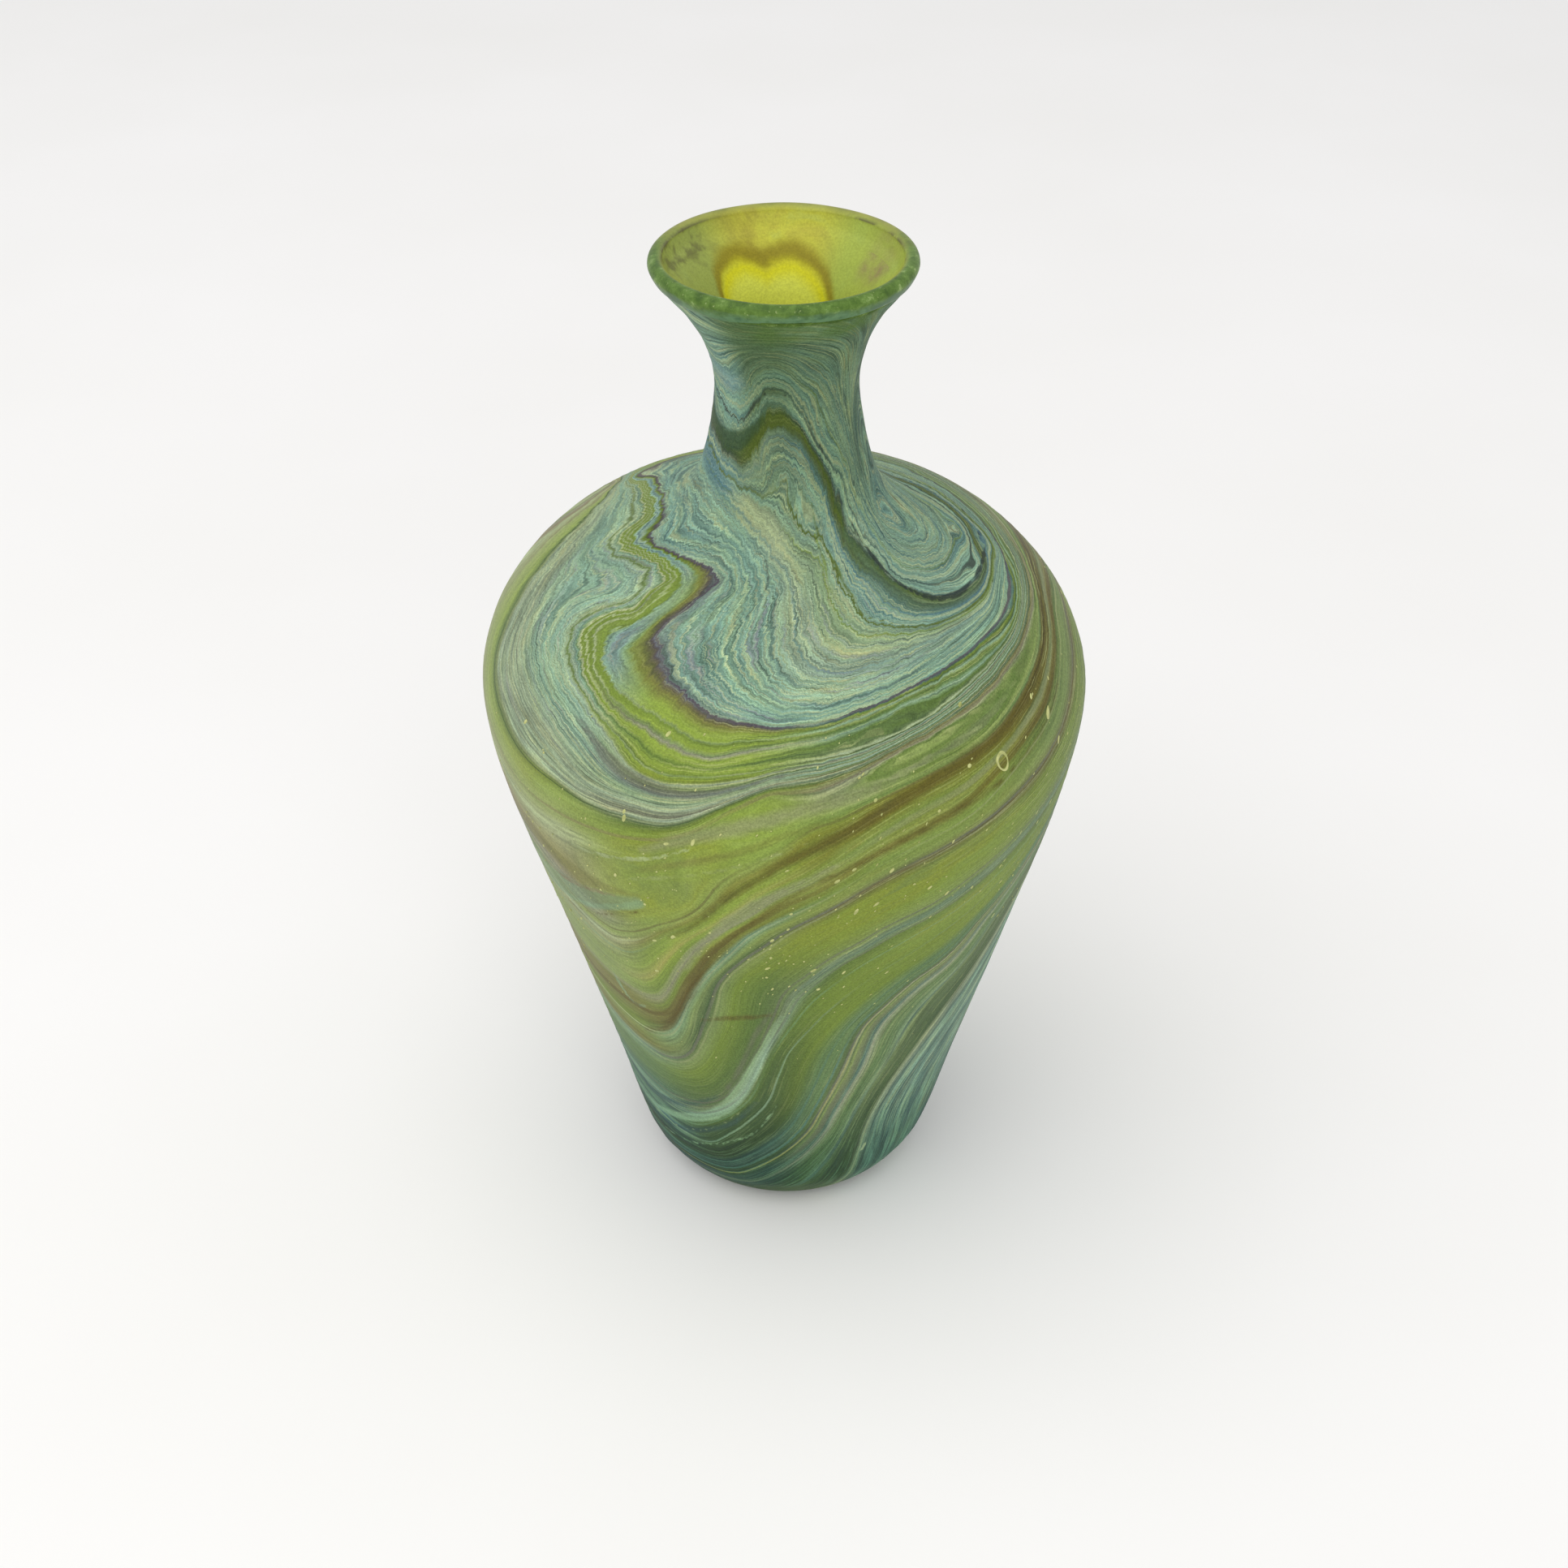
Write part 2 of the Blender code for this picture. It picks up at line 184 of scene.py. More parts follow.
# Glass of the bands, as (band value, glass, share of opaque enamel), for three sides of the vase.
BANDS = {
    "left": [
        (-20, "harbour", 0.5), (10, "harbour", 0.5), (24, "harbour", 0.6), (28, "ink", 0.4),
        (34, "pond", 0.6), (36, "jade", 0.8), (38, "laurel", 0.4), (44, "forest", 0.3), (48, "harbour", 0.5),
        (50, "celadon", 0.8), (52, "bottle", 0.5), (57, "pine", 0.5), (59, "mint", 0.9), (62, "cream", 0.9),
        (64, "lagoon", 0.6), (66.5, "celadon", 0.8), (69, "pine", 0.6), (72, "jade", 0.6), (75, "pine", 0.5),
        (80, "mint", 0.8), (82.5, "pond", 0.3), (90, "fern", 0.1), (97, "fern", 0), (101.5, "celadon", 0.5),
        (103, "khaki", 0), (106, "olive", 0.1), (109, "khaki", 0), (111.5, "khaki", 0.1), (114, "reed", 0),
        (118, "reed", 0), (120.5, "lichen", 0.2), (121.3, "butter", 0.7), (122, "reed", 0.1),
        (123.2, "dust", 0.5), (124, "clay", 0.1), (125, "cream", 0.5), (125.8, "lichen", 0.1),
        (128.2, "meadow", 0), (128.9, "moss", 0), (129.5, "lichen", 0.8), (131.5, "lichen", 0.75),
        (133.5, "celadon", 0.85), (136, "mint", 0.9), (137, "cream", 1), (137.6, "moss", 0.3),
        (138.1, "cream", 1), (138.7, "celadon", 0.9), (139.1, "fern", 0.4), (139.4, "butter", 0.6),
        (139.65, "olive", 0), (140, "olive", 0), (140.2, "cream", 0.5), (140.4, "olive", 0),
        (140.8, "olive", 0), (141, "cream", 0.5), (141.25, "olive", 0), (141.7, "olive", 0.1),
        (141.95, "mint", 0.9), (142.3, "mist", 0.9), (142.7, "mist", 0.9), (143, "jade", 0.6),
        (143.25, "olive", 0), (143.6, "hunter", 0), (143.85, "plum", 0.3), (144, "mauve", 0.9),
        (144.2, "cream", 1), (145.2, "teal", 1), (149, "celadon", 1), (153, "teal", 1), (158, "slate", 1),
        (164, "pine", 0.8), (166, "ink", 0.6), (169, "forest", 0.3), (171.5, "harbour", 0.5),
        (173.5, "pond", 0.8), (176, "teal", 1), (179, "mint", 1), (183, "slate", 1), (187, "teal", 1),
        (191, "celadon", 1), (198, "willow", 0.9),
    ],
    "centre": [
        (-20, "laurel", 0.3), (10, "laurel", 0.2), (16, "bottle", 0.4), (18, "willow", 0.5),
        (19.5, "bottle", 0.4), (22, "bottle", 0.3), (24.3, "laurel", 0.3), (25.1, "straw", 0.6),
        (25.9, "bottle", 0.5), (27, "laurel", 0.1), (33, "pine", 0.5), (38, "bottle", 0.4),
        (44, "forest", 0), (51, "forest", 0), (58, "laurel", 0.1), (60.5, "laurel", 0.1),
        (61.6, "jade", 0.7), (62.6, "laurel", 0.2), (66, "laurel", 0), (73, "moss", 0.2),
        (76, "willow", 0.5), (77.5, "celadon", 0.7), (79.2, "sage", 0.6), (80.8, "smoke", 0.5),
        (81.8, "thyme", 0.2), (84, "thyme", 0.1), (90, "moss", 0), (97, "olive", 0), (100, "sage", 0),
        (101.8, "laurel", 0.3), (103.5, "sage", 0.1), (105.5, "jade", 0.5), (107, "umber", 0),
        (109, "khaki", 0), (111, "olive", 0), (112.4, "dust", 0.2), (113, "reed", 0.2), (114.2, "olive", 0),
        (115.4, "lime", 0.1), (116.2, "straw", 0.1), (118, "lime", 0), (119.8, "olive", 0),
        (121, "khaki", 0.1), (122, "reed", 0.1), (124.5, "lime", 0), (127, "olive", 0),
        (128.4, "laurel", 0.3), (129.2, "butter", 0.9), (129.8, "smoke", 0.4), (130.8, "lichen", 0.8),
        (132.6, "sage", 0.7), (134, "smoke", 0.7), (135.4, "sage", 0.3), (136.3, "lichen", 0.7),
        (136.9, "olive", 0), (137.5, "lime", 0), (137.8, "sage", 0.4), (138.1, "olive", 0),
        (138.6, "lime", 0), (139.1, "moss", 0), (139.6, "lime", 0), (140.1, "lime", 0.1),
        (140.5, "dust", 0.5), (140.8, "sage", 0.3), (141.2, "lime", 0), (141.7, "olive", 0),
        (141.9, "sage", 0.3), (142.1, "lime", 0), (142.6, "lime", 0), (143.4, "khaki", 0.1),
        (143.9, "plum", 0.6), (144.7, "celadon", 1), (147, "jade", 1), (150, "celadon", 1),
        (151.5, "lichen", 0.7), (153.5, "cream", 0.65), (155.2, "lichen", 0.7), (156.5, "celadon", 0.9),
        (158, "willow", 0.9), (163, "willow", 0.8), (165.3, "thyme", 0.6), (166.6, "hunter", 0.1),
        (169.6, "hunter", 0.1), (171, "laurel", 0.5), (173, "pond", 0.8), (174.6, "laurel", 0.6),
        (176, "pond", 0.9), (178.6, "jade", 1), (181, "thyme", 0.8), (186, "thyme", 0.7), (190, "fern", 0.7),
        (198, "moss", 0.4),
    ],
    "right": [
        (-20, "harbour", 0.5), (-14, "pine", 0.7), (-11, "celadon", 0.9), (-8.5, "bottle", 0.7),
        (-6, "celadon", 0.9), (-3.5, "bottle", 0.6), (-1.5, "celadon", 0.9), (0.5, "pine", 0.5),
        (1.8, "lichen", 0.8), (3.4, "laurel", 0.3), (7, "thyme", 0.3), (9.5, "sage", 0.7), (11, "fern", 0.5),
        (14, "fern", 0.3), (17, "lichen", 0.7), (18.6, "pine", 0.6), (21, "sage", 0.2), (23, "reed", 0.4),
        (24.2, "thyme", 0.4), (25, "lichen", 0.6), (26, "smoke", 0.5), (27.5, "thyme", 0.1),
        (32, "fern", 0.4), (40, "fern", 0.2), (48, "olive", 0), (62, "olive", 0.1), (70, "olive", 0),
        (77, "moss", 0.1), (79.3, "willow", 0.4), (80.6, "pine", 0.6), (82.2, "sage", 0.3), (90, "olive", 0),
        (98, "olive", 0), (101, "earth", 0.4), (103, "sage", 0.1), (106, "moss", 0), (108.5, "bronze", 0),
        (111, "khaki", 0), (113.5, "moss", 0), (116, "bronze", 0), (118, "bronze", 0.1), (120.6, "peat", 0),
        (121.8, "bronze", 0), (123, "fern", 0.1), (124, "reed", 0.2), (124.8, "moss", 0.1),
        (125.5, "lichen", 0.5), (126.1, "smoke", 0.4), (126.7, "sage", 0.4), (127.3, "earth", 0.2),
        (128, "laurel", 0.2), (128.5, "lichen", 0.6), (129, "cream", 0.9), (129.4, "smoke", 0.4),
        (129.8, "cream", 0.7), (130.3, "earth", 0.3), (130.9, "sage", 0.6), (131.6, "laurel", 0.3),
        (132.3, "celadon", 0.8), (133, "lichen", 0.9), (133.6, "thyme", 0.4), (134.6, "celadon", 0.6),
        (135.3, "laurel", 0.3), (135.9, "lichen", 0.7), (136.5, "smoke", 0.4), (137.1, "celadon", 0.8),
        (137.7, "forest", 0.2), (138.3, "cream", 0.7), (138.9, "thyme", 0.3), (139.5, "moss", 0.1),
        (140.1, "celadon", 0.6), (140.6, "fern", 0.2), (141.1, "moss", 0), (141.6, "reed", 0.3),
        (142.1, "celadon", 0.6), (142.6, "laurel", 0.2), (143.1, "olive", 0.1), (143.6, "bottle", 0.6),
        (144.6, "jade", 1), (148, "celadon", 1), (152, "lichen", 1), (155, "reed", 0.8),
        (157.3, "willow", 0.9), (159.2, "teal", 1), (161, "slate", 0.9), (163, "pond", 0.8),
        (164.6, "pine", 0.5), (166, "thyme", 0.2), (168.6, "hunter", 0), (170, "laurel", 0.3),
        (170.9, "ink", 0.6), (171.7, "pine", 0.8), (172.4, "jade", 1), (174, "mint", 1),
        (175.3, "pond", 0.8), (176.8, "mint", 1), (180, "pond", 1), (183, "willow", 1), (186, "pine", 1),
        (190, "willow", 1), (198, "pond", 1),
    ],
}


# ---------------------------------------------------------------- the wall's outline

def curve_point(before, start, end, after, share):
    """The point that share of the way from start to end, on a Catmull-Rom curve."""
    square = 2 * before - 5 * start + 4 * end - after
    cube = 3 * start - before - 3 * end + after
    return 0.5 * (2 * start + (end - before) * share + square * share**2 + cube * share**3)


def smooth_outline(points, steps):
    """A Catmull-Rom curve through the points, with that many steps between each two."""
    p = np.array([points[0], *points, points[-1]], float)
    p[0] = 2 * p[1] - p[2]
    p[-1] = 2 * p[-2] - p[-3]
    curve = []
    for corners in zip(p, p[1:], p[2:], p[3:]):
        curve += [curve_point(*corners, share) for share in np.arange(steps) / steps]
    curve.append(p[-2])
    return np.array(curve)


OUTLINE_CURVE = smooth_outline(OUTLINE, 40)
OUTLINE_ARC = np.concatenate([[0], np.cumsum(np.hypot(*np.diff(OUTLINE_CURVE, axis=0).T))])
WALL_LENGTH = OUTLINE_ARC[-1] / MM


def outline_at(up):
    """Radius and height of the outer wall, up millimetres along its outline."""
    radius = np.interp(np.asarray(up) * MM, OUTLINE_ARC, OUTLINE_CURVE[:, 0])
    height = np.interp(np.asarray(up) * MM, OUTLINE_ARC, OUTLINE_CURVE[:, 1])
    return radius, height


def outline_normal(up):
    """The outward normal of the outline there, as (radial, vertical)."""
    r0, z0 = outline_at(np.asarray(up) - 0.5)
    r1, z1 = outline_at(np.asarray(up) + 0.5)
    length = np.hypot(r1 - r0, z1 - z0)
    return (z1 - z0) / length, -(r1 - r0) / length


def on_wall(degrees, up, out=0.0):
    """The point of the wall at that place, out metres outside it."""
    radius, height = outline_at(up)
    normal_r, normal_z = outline_normal(up)
    angle = np.radians(degrees)
    reach = radius + normal_r * out
    return np.stack([reach * np.sin(angle), -reach * np.cos(angle), height + normal_z * out], -1)


# The slight leans of a hand-blown form: how far its axis wanders to the side, as (height, drift).
DRIFT = [
    (0, 0), (0.02, 0.00015), (0.055, 0.0004), (0.085, 0.00035), (0.104, 5e-05), (0.1155, -6e-05),
    (0.124, -0.00035), (0.133, -0.0006), (0.143, -0.0007), (0.149, -0.0004), (0.155, 0.0002),
    (0.164, 0.0005), (0.18, 0.0005), (0.19, 0.0002), (0.1965, 0), (0.2, 0),
]


def drifted(points):
    """Moves points by the form's drift at their height."""
    height, drift = smooth_outline(DRIFT, 8).T
    side = np.interp(points[..., 2], height, drift)
    back = BACK_DRIFT * np.sin((points[..., 2] - BELLY_HEIGHT) / BACK_WAVE)
    return points + np.stack([side, back, np.zeros_like(side)], -1)


# ---------------------------------------------------------------- the marbling's field

def stream_points(route):
    """Points every few millimetres along a stream's route, as (degrees, millimetres up)."""
    p = np.array(route, float)
    p = np.vstack([2 * p[0] - p[1], p, 2 * p[-1] - p[-2]])
    points = []
    for before, start, end, after in zip(p, p[1:], p[2:], p[3:]):
        radius = outline_at(start[1])[0] / MM
        length = math.hypot(math.radians(end[0] - start[0]) * radius, end[1] - start[1])
        steps = max(1, math.ceil(length / STREAM_STEP))
        points += [curve_point(before, start, end, after, share) for share in np.arange(steps) / steps]
    points.append(p[-2])
    return np.array(points)


def solve_field():
    """Radial weights of a smooth field that takes each stream's band value along its route."""
    places = []
    values = []
    for value, route in STREAMS.items():
        points = stream_points(route)
        places.append(on_wall(points[:, 0], points[:, 1]) / MM)
        values.append(np.full(len(points), float(value)))
    places = np.vstack(places)
    values = np.concatenate(values)
    count = len(places)
    squared = ((places[:, None] - places[None]) ** 2).sum(-1)
    system = np.ones((count + 1, count + 1))
    system[:count, :count] = FIELD_LOOSENESS * np.eye(count) - np.sqrt(squared + FIELD_SOFTNESS**2)
    system[count, count] = 0
    weights = np.linalg.solve(system, np.append(values, 0))
    return places, weights


def field_at(points, field):
    """The band value at each point, given in metres."""
    places, weights = field
    points = points.reshape(-1, 3) / MM
    values = np.empty(len(points))
    for start in range(0, len(points), FIELD_CHUNK):
        chunk = points[start:start + FIELD_CHUNK]
        squared = (chunk**2).sum(1)[:, None] + (places**2).sum(1) - 2 * chunk @ places.T
        reach = np.sqrt(np.maximum(squared, 0) + FIELD_SOFTNESS**2)
        values[start:start + FIELD_CHUNK] = weights[-1] - reach @ weights[:-1]
    return values


# Strokes of glass laid over the bands: glass, softness in millimetres, strength, and the route as (degrees,
# millimetres up, half width in millimetres). A half width below 0 tapers the stroke's end.
STROKES = {
    "wedge": ("khaki", 1.6, 0.55, [(-118, 125, 0.2), (-100, 120, 0.5), (-84, 113.5, 0.8), (-72, 107.5, 1.1),
        (-63, 104.3, 1.3), (-55, 103.8, 1.6), (-48, 103.5, 1.7), (-41, 103.2, 1.4), (-35, 103.6, 0.9),
        (-29, 104.8, 0.3)]),
    "tongue": ("willow", 1.6, 0.75, [(-128, 122, 0.2), (-110, 117, 0.8), (-94, 110.5, 1.6), (-80, 103, 2.4),
        (-70, 97.5, 3.1), (-60, 94.5, 3.8), (-54, 94.3, 3.6), (-46, 96, 3.1), (-40, 98.3, 2.3),
        (-34, 100.7, 1.7), (-29.3, 103, 1.3)]),
    "tongue_line": ("clay", 0.5, 0.75, [(-105, 117.5, 0.2), (-88, 110, 0.4), (-74, 103.5, 0.4),
        (-64, 98.6, 0.5), (-56, 97.3, 0.5), (-48, 98.2, 0.5), (-41, 100.2, 0.4), (-35, 102, 0.3)]),
    "tongue_edge": ("celadon", 0.7, 0.5, [(-104, 111.5, 0.1), (-90, 104.5, 0.3), (-78, 97.5, 0.4),
        (-67, 92.5, 0.5), (-60, 90.8, 0.6), (-54, 91, 0.7), (-46, 93.4, 0.7), (-38, 97.2, 0.8),
        (-32, 100.6, 0.9), (-29, 102.6, 0.9)]),
    "tongue_rim": ("umber", 0.5, 0.75, [(-80, 96, 0.1), (-66, 89.4, 0.25), (-58, 88.4, 0.25),
        (-50, 89.6, 0.3), (-42, 93, 0.3), (-34, 97.4, 0.3), (-28.5, 101, 0.2)]),
    "crest": ("cream", 0.35, 0.85, [(-66, 116, 0.3), (-57.5, 112.2, 0.4), (-49, 111.3, 0.4),
        (-41.5, 111.3, 0.5), (-33.5, 113.2, 0.5), (-25.5, 116, 0.45), (-20, 119, 0.4), (-14, 122.5, 0.2)]),
    "plum": ("smoke", 0.9, 0.7, [(-43, 138.3, 0.3), (-38, 136.2, 0.8), (-34, 134, 1.2), (-29.5, 132.3, 1.3),
        (-24, 131.3, 1.1), (-18, 131.2, 0.8), (-10.5, 132.8, 0.6), (0, 136, 0.3)]),
    "wisp": ("celadon", 0.6, 0.8, [(-46.5, 73, 0.3), (-45, 69, 0.5), (-43.5, 66.5, 0.5), (-41, 65.3, 0.5),
        (-38, 66.5, 0.4)]),
    "shade": ("umber", 1, 0.7, [(-21, 69.5, 0.3), (-15, 72, 0.7), (-11, 73, 0.8), (-3, 75, 0.4)]),
    "amber": ("khaki", 1.2, 0.6, [(-33, 109, -0.3), (-26, 113, 0.5), (-18, 117.2, 0.8), (-9, 121, 0.8),
        (0, 125.2, 0.6), (9, 128, 0.3), (18, 130.5, -0.3)]),
    "pale": ("lichen", 0.6, 0.7, [(-36, 106, -0.2), (-29, 109.5, 0.3), (-21, 113, 0.4), (-12.5, 116.5, 0.4),
        (-5, 119.8, 0.3), (3, 123.5, 0.25), (11, 126, -0.2)]),
    "haze": ("dust", 1.8, 0.6, [(-26, 118, 0.6), (-18, 122.5, 1.2), (-8, 126.5, 1.4), (4, 130, 1.2),
        (16, 132.5, 0.8), (28, 135.5, 0.3)]),
    "umber_upper": ("umber", 1.6, 0.75, [(-24, 95, 0.3), (-17.5, 101, 0.5), (-12, 108.5, 0.7),
        (-6.5, 114, 0.8), (1, 120.3, 0.9), (7.5, 123.7, 1.1), (15, 127.2, 1.1), (23, 130.2, 1.1),
        (33.5, 132.5, 1.2), (44.5, 134.5, 1.1), (55, 137, 0.7)]),
    "umber_lower": ("umber", 1.3, 0.75, [(-41, 57.5, 0.5), (-34, 61, 0.7), (-29, 66.5, 0.9),
        (-21.5, 79.5, 0.8), (-16, 91.5, 0.6), (-10.5, 99, 0.5), (-4.5, 106, 0.5), (1, 111.3, 0.5),
        (7.5, 115.5, 0.6), (15, 119.3, 0.6), (22.5, 122, 0.6), (32.5, 124.5, 0.6), (42.5, 126.2, 0.6),
        (56, 130, 0.5), (66, 134, 0.3)]),
    "mauve": ("dust", 1.2, 0.7, [(-22, 86, 0.3), (-17, 95, 0.7), (-11.5, 103, 0.9), (-5, 109.5, 0.9),
        (2, 114.5, 0.6), (9, 118.5, 0.3)]),
    "gold": ("lime", 2.4, 0.35, [(-30, 110, 1.4), (-20, 114, 1.8), (-10, 118.5, 2), (0, 124.5, 1.4),
        (12, 129, 0.6)]),
    "neck": ("forest", 1.2, 0.85, [(-85, 198, 1.2), (-72, 196.6, 1.2), (-60, 195.8, 1.3), (-51, 195.5, 1.4),
        (-42, 195.9, 1.5), (-35, 196.6, 1.4), (-28, 198.5, 1), (-20, 200.5, 0.6)]),
    "neck_blue": ("mist", 3, 0.5, [(-80, 208, 1.5), (-62, 207.5, 2), (-50, 206.5, 1.8), (-38, 207, 1)]),
    "low_blue": ("lagoon", 3, 0.6, [(-85, 190, 2), (-68, 189.5, 2.2), (-55, 188, 2), (-44, 187, 1.2)]),
    "neck_side": ("pine", 2.5, 0.6, [(75, 206, 1), (68, 200, 1.6), (62, 194, 1.6), (60, 188, 1)]),
    "loop_shade": ("pine", 2.4, 0.7, [(33, 180, 0.5), (37, 173, 0.9), (38, 168, 1.1), (41, 163, 1.3),
        (47, 159, 1.4), (55, 157.4, 1.4), (64, 156.8, 1.3), (75, 157, 1.1), (88, 158.2, 0.8),
        (100, 160.5, 0.4)]),
    "loop": ("soot", 0.3, 0.9, [(-73, 201.5, 0.2), (-60, 200.6, 0.22), (-47.5, 199.5, 0.25),
        (-34, 200.5, 0.22), (-22, 204.5, 0.25), (-9, 206.5, 0.22), (6.5, 204, 0.22), (19.5, 199, 0.2),
        (27, 194.3, 0.18), (33, 189.5, 0.22), (38, 184, 0.25), (41, 179, 0.28), (42, 174, 0.32),
        (42, 170, 0.4), (43, 166, 0.45), (45.5, 162.8, 0.5), (49, 160.4, 0.6), (54, 159.2, 0.65),
        (61, 158.4, 0.65), (70, 158.3, 0.6), (81.5, 158.9, 0.5), (93.5, 160.4, 0.4), (104, 162.5, 0.25),
        (114, 166, 0.1)]),
    "zig": ("hunter", 0.35, 0.9, [(16, 186, 0.1), (18, 181, 0.2), (21, 177.5, 0.22), (23.5, 174, 0.25),
        (23.3, 170.5, 0.28), (24.5, 166.5, 0.3), (24.3, 163, 0.3), (29, 161, 0.3), (36.5, 157.7, 0.32),
        (44, 156.5, 0.3), (51, 155.7, 0.28), (62, 155.3, 0.28), (73.5, 155.6, 0.25), (84, 156.8, 0.15)]),
    "zig_left": ("olive", 0.3, 0.8, [(16, 181, 0.1), (18.5, 175.5, 0.16), (17.5, 170.5, 0.18),
        (18, 166.5, 0.18), (18.7, 162.5, 0.16), (24, 159.5, 0.1)]),
    "jag": ("ink", 0.3, 0.75, [(-38, 177.3, 0.1), (-32, 177.5, 0.18), (-24, 177.4, 0.18), (-17.5, 178, 0.2),
        (-11, 177, 0.22), (-8, 175.5, 0.2), (-6, 171.5, 0.18), (-8.5, 167.5, 0.15), (-10.5, 164, 0.13),
        (-11, 160, 0.1)]),
    "foot_blue": ("harbour", 1.2, 0.75, [(-80, 24, -0.6), (-68, 22.5, 0.2), (-60, 21.6, 0.6),
        (-52.5, 21, 0.8), (-38, 24, 0.9), (-25, 29, 0.8), (-16, 35, 0.6), (-9.5, 43, 0.3)]),
    "foot_shade": ("harbour", 1.6, 0.7, [(-78, 38, -0.6), (-66, 35, 0.3), (-58, 32.8, 0.7), (-51, 31.2, 0.9),
        (-39, 33, 0.9), (-28.5, 37.5, 0.7), (-21, 42.5, 0.3)]),
    "foot_mint": ("mint", 0.9, 0.8, [(-80, 30, -0.6), (-68, 27.6, 0.3), (-60, 26, 0.6), (-52.5, 25, 0.9),
        (-41.5, 27.5, 1.1), (-30, 31.5, 1.4), (-20, 38, 1.6), (-13, 47.5, 1.5), (-8, 58, 1.2),
        (-4.5, 67.5, 0.7), (-1.5, 74.5, 0.3)]),
    "foot_dust": ("smoke", 0.8, 0.6, [(-22, 40.5, 0.2), (-16.5, 48, 0.5), (-11.5, 58, 0.6), (-8, 67.5, 0.6),
        (-4, 75.5, 0.4)]),
    "foot_line": ("mint", 0.4, 0.85, [(-80, 21.5, -0.4), (-68, 19.9, 0.1), (-57, 18.4, 0.25),
        (-45.5, 18, 0.3), (-33, 20.5, 0.35), (-20.5, 25.5, 0.35), (-11.5, 30.5, 0.3), (-5.5, 38, 0.25),
        (-3, 43.5, 0.1)]),
    "foot_thread": ("cream", 0.35, 0.8, [(-78, 27.5, -0.3), (-66, 25.4, 0.1), (-56, 23.8, 0.2),
        (-46, 22.8, 0.25), (-33, 25.6, 0.25), (-22, 31.5, 0.2), (-14, 39, 0.1)]),
    "fleck": ("butter", 0.25, 0.8, [(27.3, 19.5, 0.25), (28.2, 22.5, 0.35)]),
}


def stroke_depth(points, route):
    """How far each point lies inside a stroke, in millimetres, and below 0 outside it."""
    route = smooth_outline(route, 10)
    centres = on_wall(route[:, 0], route[:, 1]) / MM
    depth = np.full(points.shape[:-1], -30.0)
    for centre, half_width in zip(centres, route[:, 2]):
        away = np.sqrt(((points / MM - centre) ** 2).sum(-1))
        depth = np.maximum(depth, half_width - away)
    return depth


def step(x, low, high):
    """0 below low, 1 above high, and smooth between."""
    t = np.clip((x - low) / (high - low), 0, 1)
    return t * t * (3 - 2 * t)


def between(x, low, full, fading, gone):
    """0 below low and above gone, 1 from full to fading, and smooth between."""
    return step(x, low, full) * (1 - step(x, fading, gone))


def around(degrees, centre, half_width, fade):
    """1 within half_width of the centre, going round, and 0 beyond the fade."""
    away = np.abs((degrees - centre + 180) % 360 - 180)
    return 1 - step(away, half_width, half_width + fade)


# Fine threads run closer together, per band, where bands are broad: (band value, threads per band).
THREAD_DENSITY = [(-20, 1.0), (118, 1.1), (128, 1.6), (131, 3.0), (138, 3.0), (140, 1.8), (143, 1.8),
                  (145, 3.0), (158, 2.6), (163, 1.3), (174, 1.4), (180, 2.0), (198, 2.4)]


def thread_of(band):
    """The thread coordinate, which rises with the band value at the density above."""
    bands, density = np.array(THREAD_DENSITY).T
    fine = np.linspace(bands[0] - 20, bands[-1] + 20, 4000)
    total = np.cumsum(np.interp(fine, bands, density)) * (fine[1] - fine[0])
    return np.interp(band, fine, total), np.interp(band, bands, density)


# ---------------------------------------------------------------- meshes

def add_object(name, data):
    """A new object in the scene, from a mesh, a light or a camera."""
    thing = bpy.data.objects.new(name, data)
    bpy.context.scene.collection.objects.link(thing)
    return thing


def grid_mesh(name, rows):
    """A closed skin over rows of points that each go once round; the last row joins the first."""
    rows = np.asarray(rows)
    count, around_count = rows.shape[:2]
    below = np.arange(count)[:, None] * around_count
    above = (np.arange(count)[:, None] + 1) % count * around_count
    here = np.arange(around_count)
    beyond = (here + 1) % around_count
    quads = np.stack([below + here, below + beyond, above + beyond, above + here], -1).reshape(-1, 4)
    mesh = bpy.data.meshes.new(name)
    mesh.from_pydata(rows.reshape(-1, 3).tolist(), [], quads.tolist())
    mesh.shade_smooth()
    return add_object(name, mesh)


def add_values(piece, values):
    """Sets numbers on the vertices, from a value for each; the material reads them by their names."""
    for name, value in values.items():
        layer = piece.data.attributes.new(name, "FLOAT", "POINT")
        layer.data.foreach_set("value", np.float32(value).ravel())


# The rows and columns of the skins' points.
OUTER_ROWS = 206
INNER_ROWS = 30
OVERLAY_COLUMNS = 400
BUBBLE_COLUMNS = 200
BEAD_COLUMNS = 240
SCAR_COLUMNS = 72
# Where the overlay starts, in millimetres up the wall, and how far it lies inside the CAD's wall.
OVERLAY_START = 1.3
VISUAL_INSET = 0.14 * MM
OVERLAY_LIP = 0.6 * MM
# The rounds of the solver below.
ALONG_ROUNDS = 900


def overlay_relief(degrees, up, band):
    """How far the enamel streams and the blown wall's unevenness stand off the wall, in metres."""
    stream = np.sin(band * 2.1) + 0.6 * np.sin(band * 5.3 + np.radians(degrees) * 3)
    soft = np.sin(np.radians(degrees) * 5 + up / 19) * np.sin(up / 11 + 1)
    return (0.035 * stream + 0.06 * soft) * MM * between(up, 2, 12, 215, 224)


def slopes(values, up_step, radius):
    """How a value rises in each millimetre up the wall and round it; the grid's two sides are not joined."""
    rise_up = np.gradient(values, up_step, axis=0)
    rise_round = np.gradient(values, axis=1) / (np.radians(360 / OVERLAY_COLUMNS) * radius)
    return rise_up, rise_round


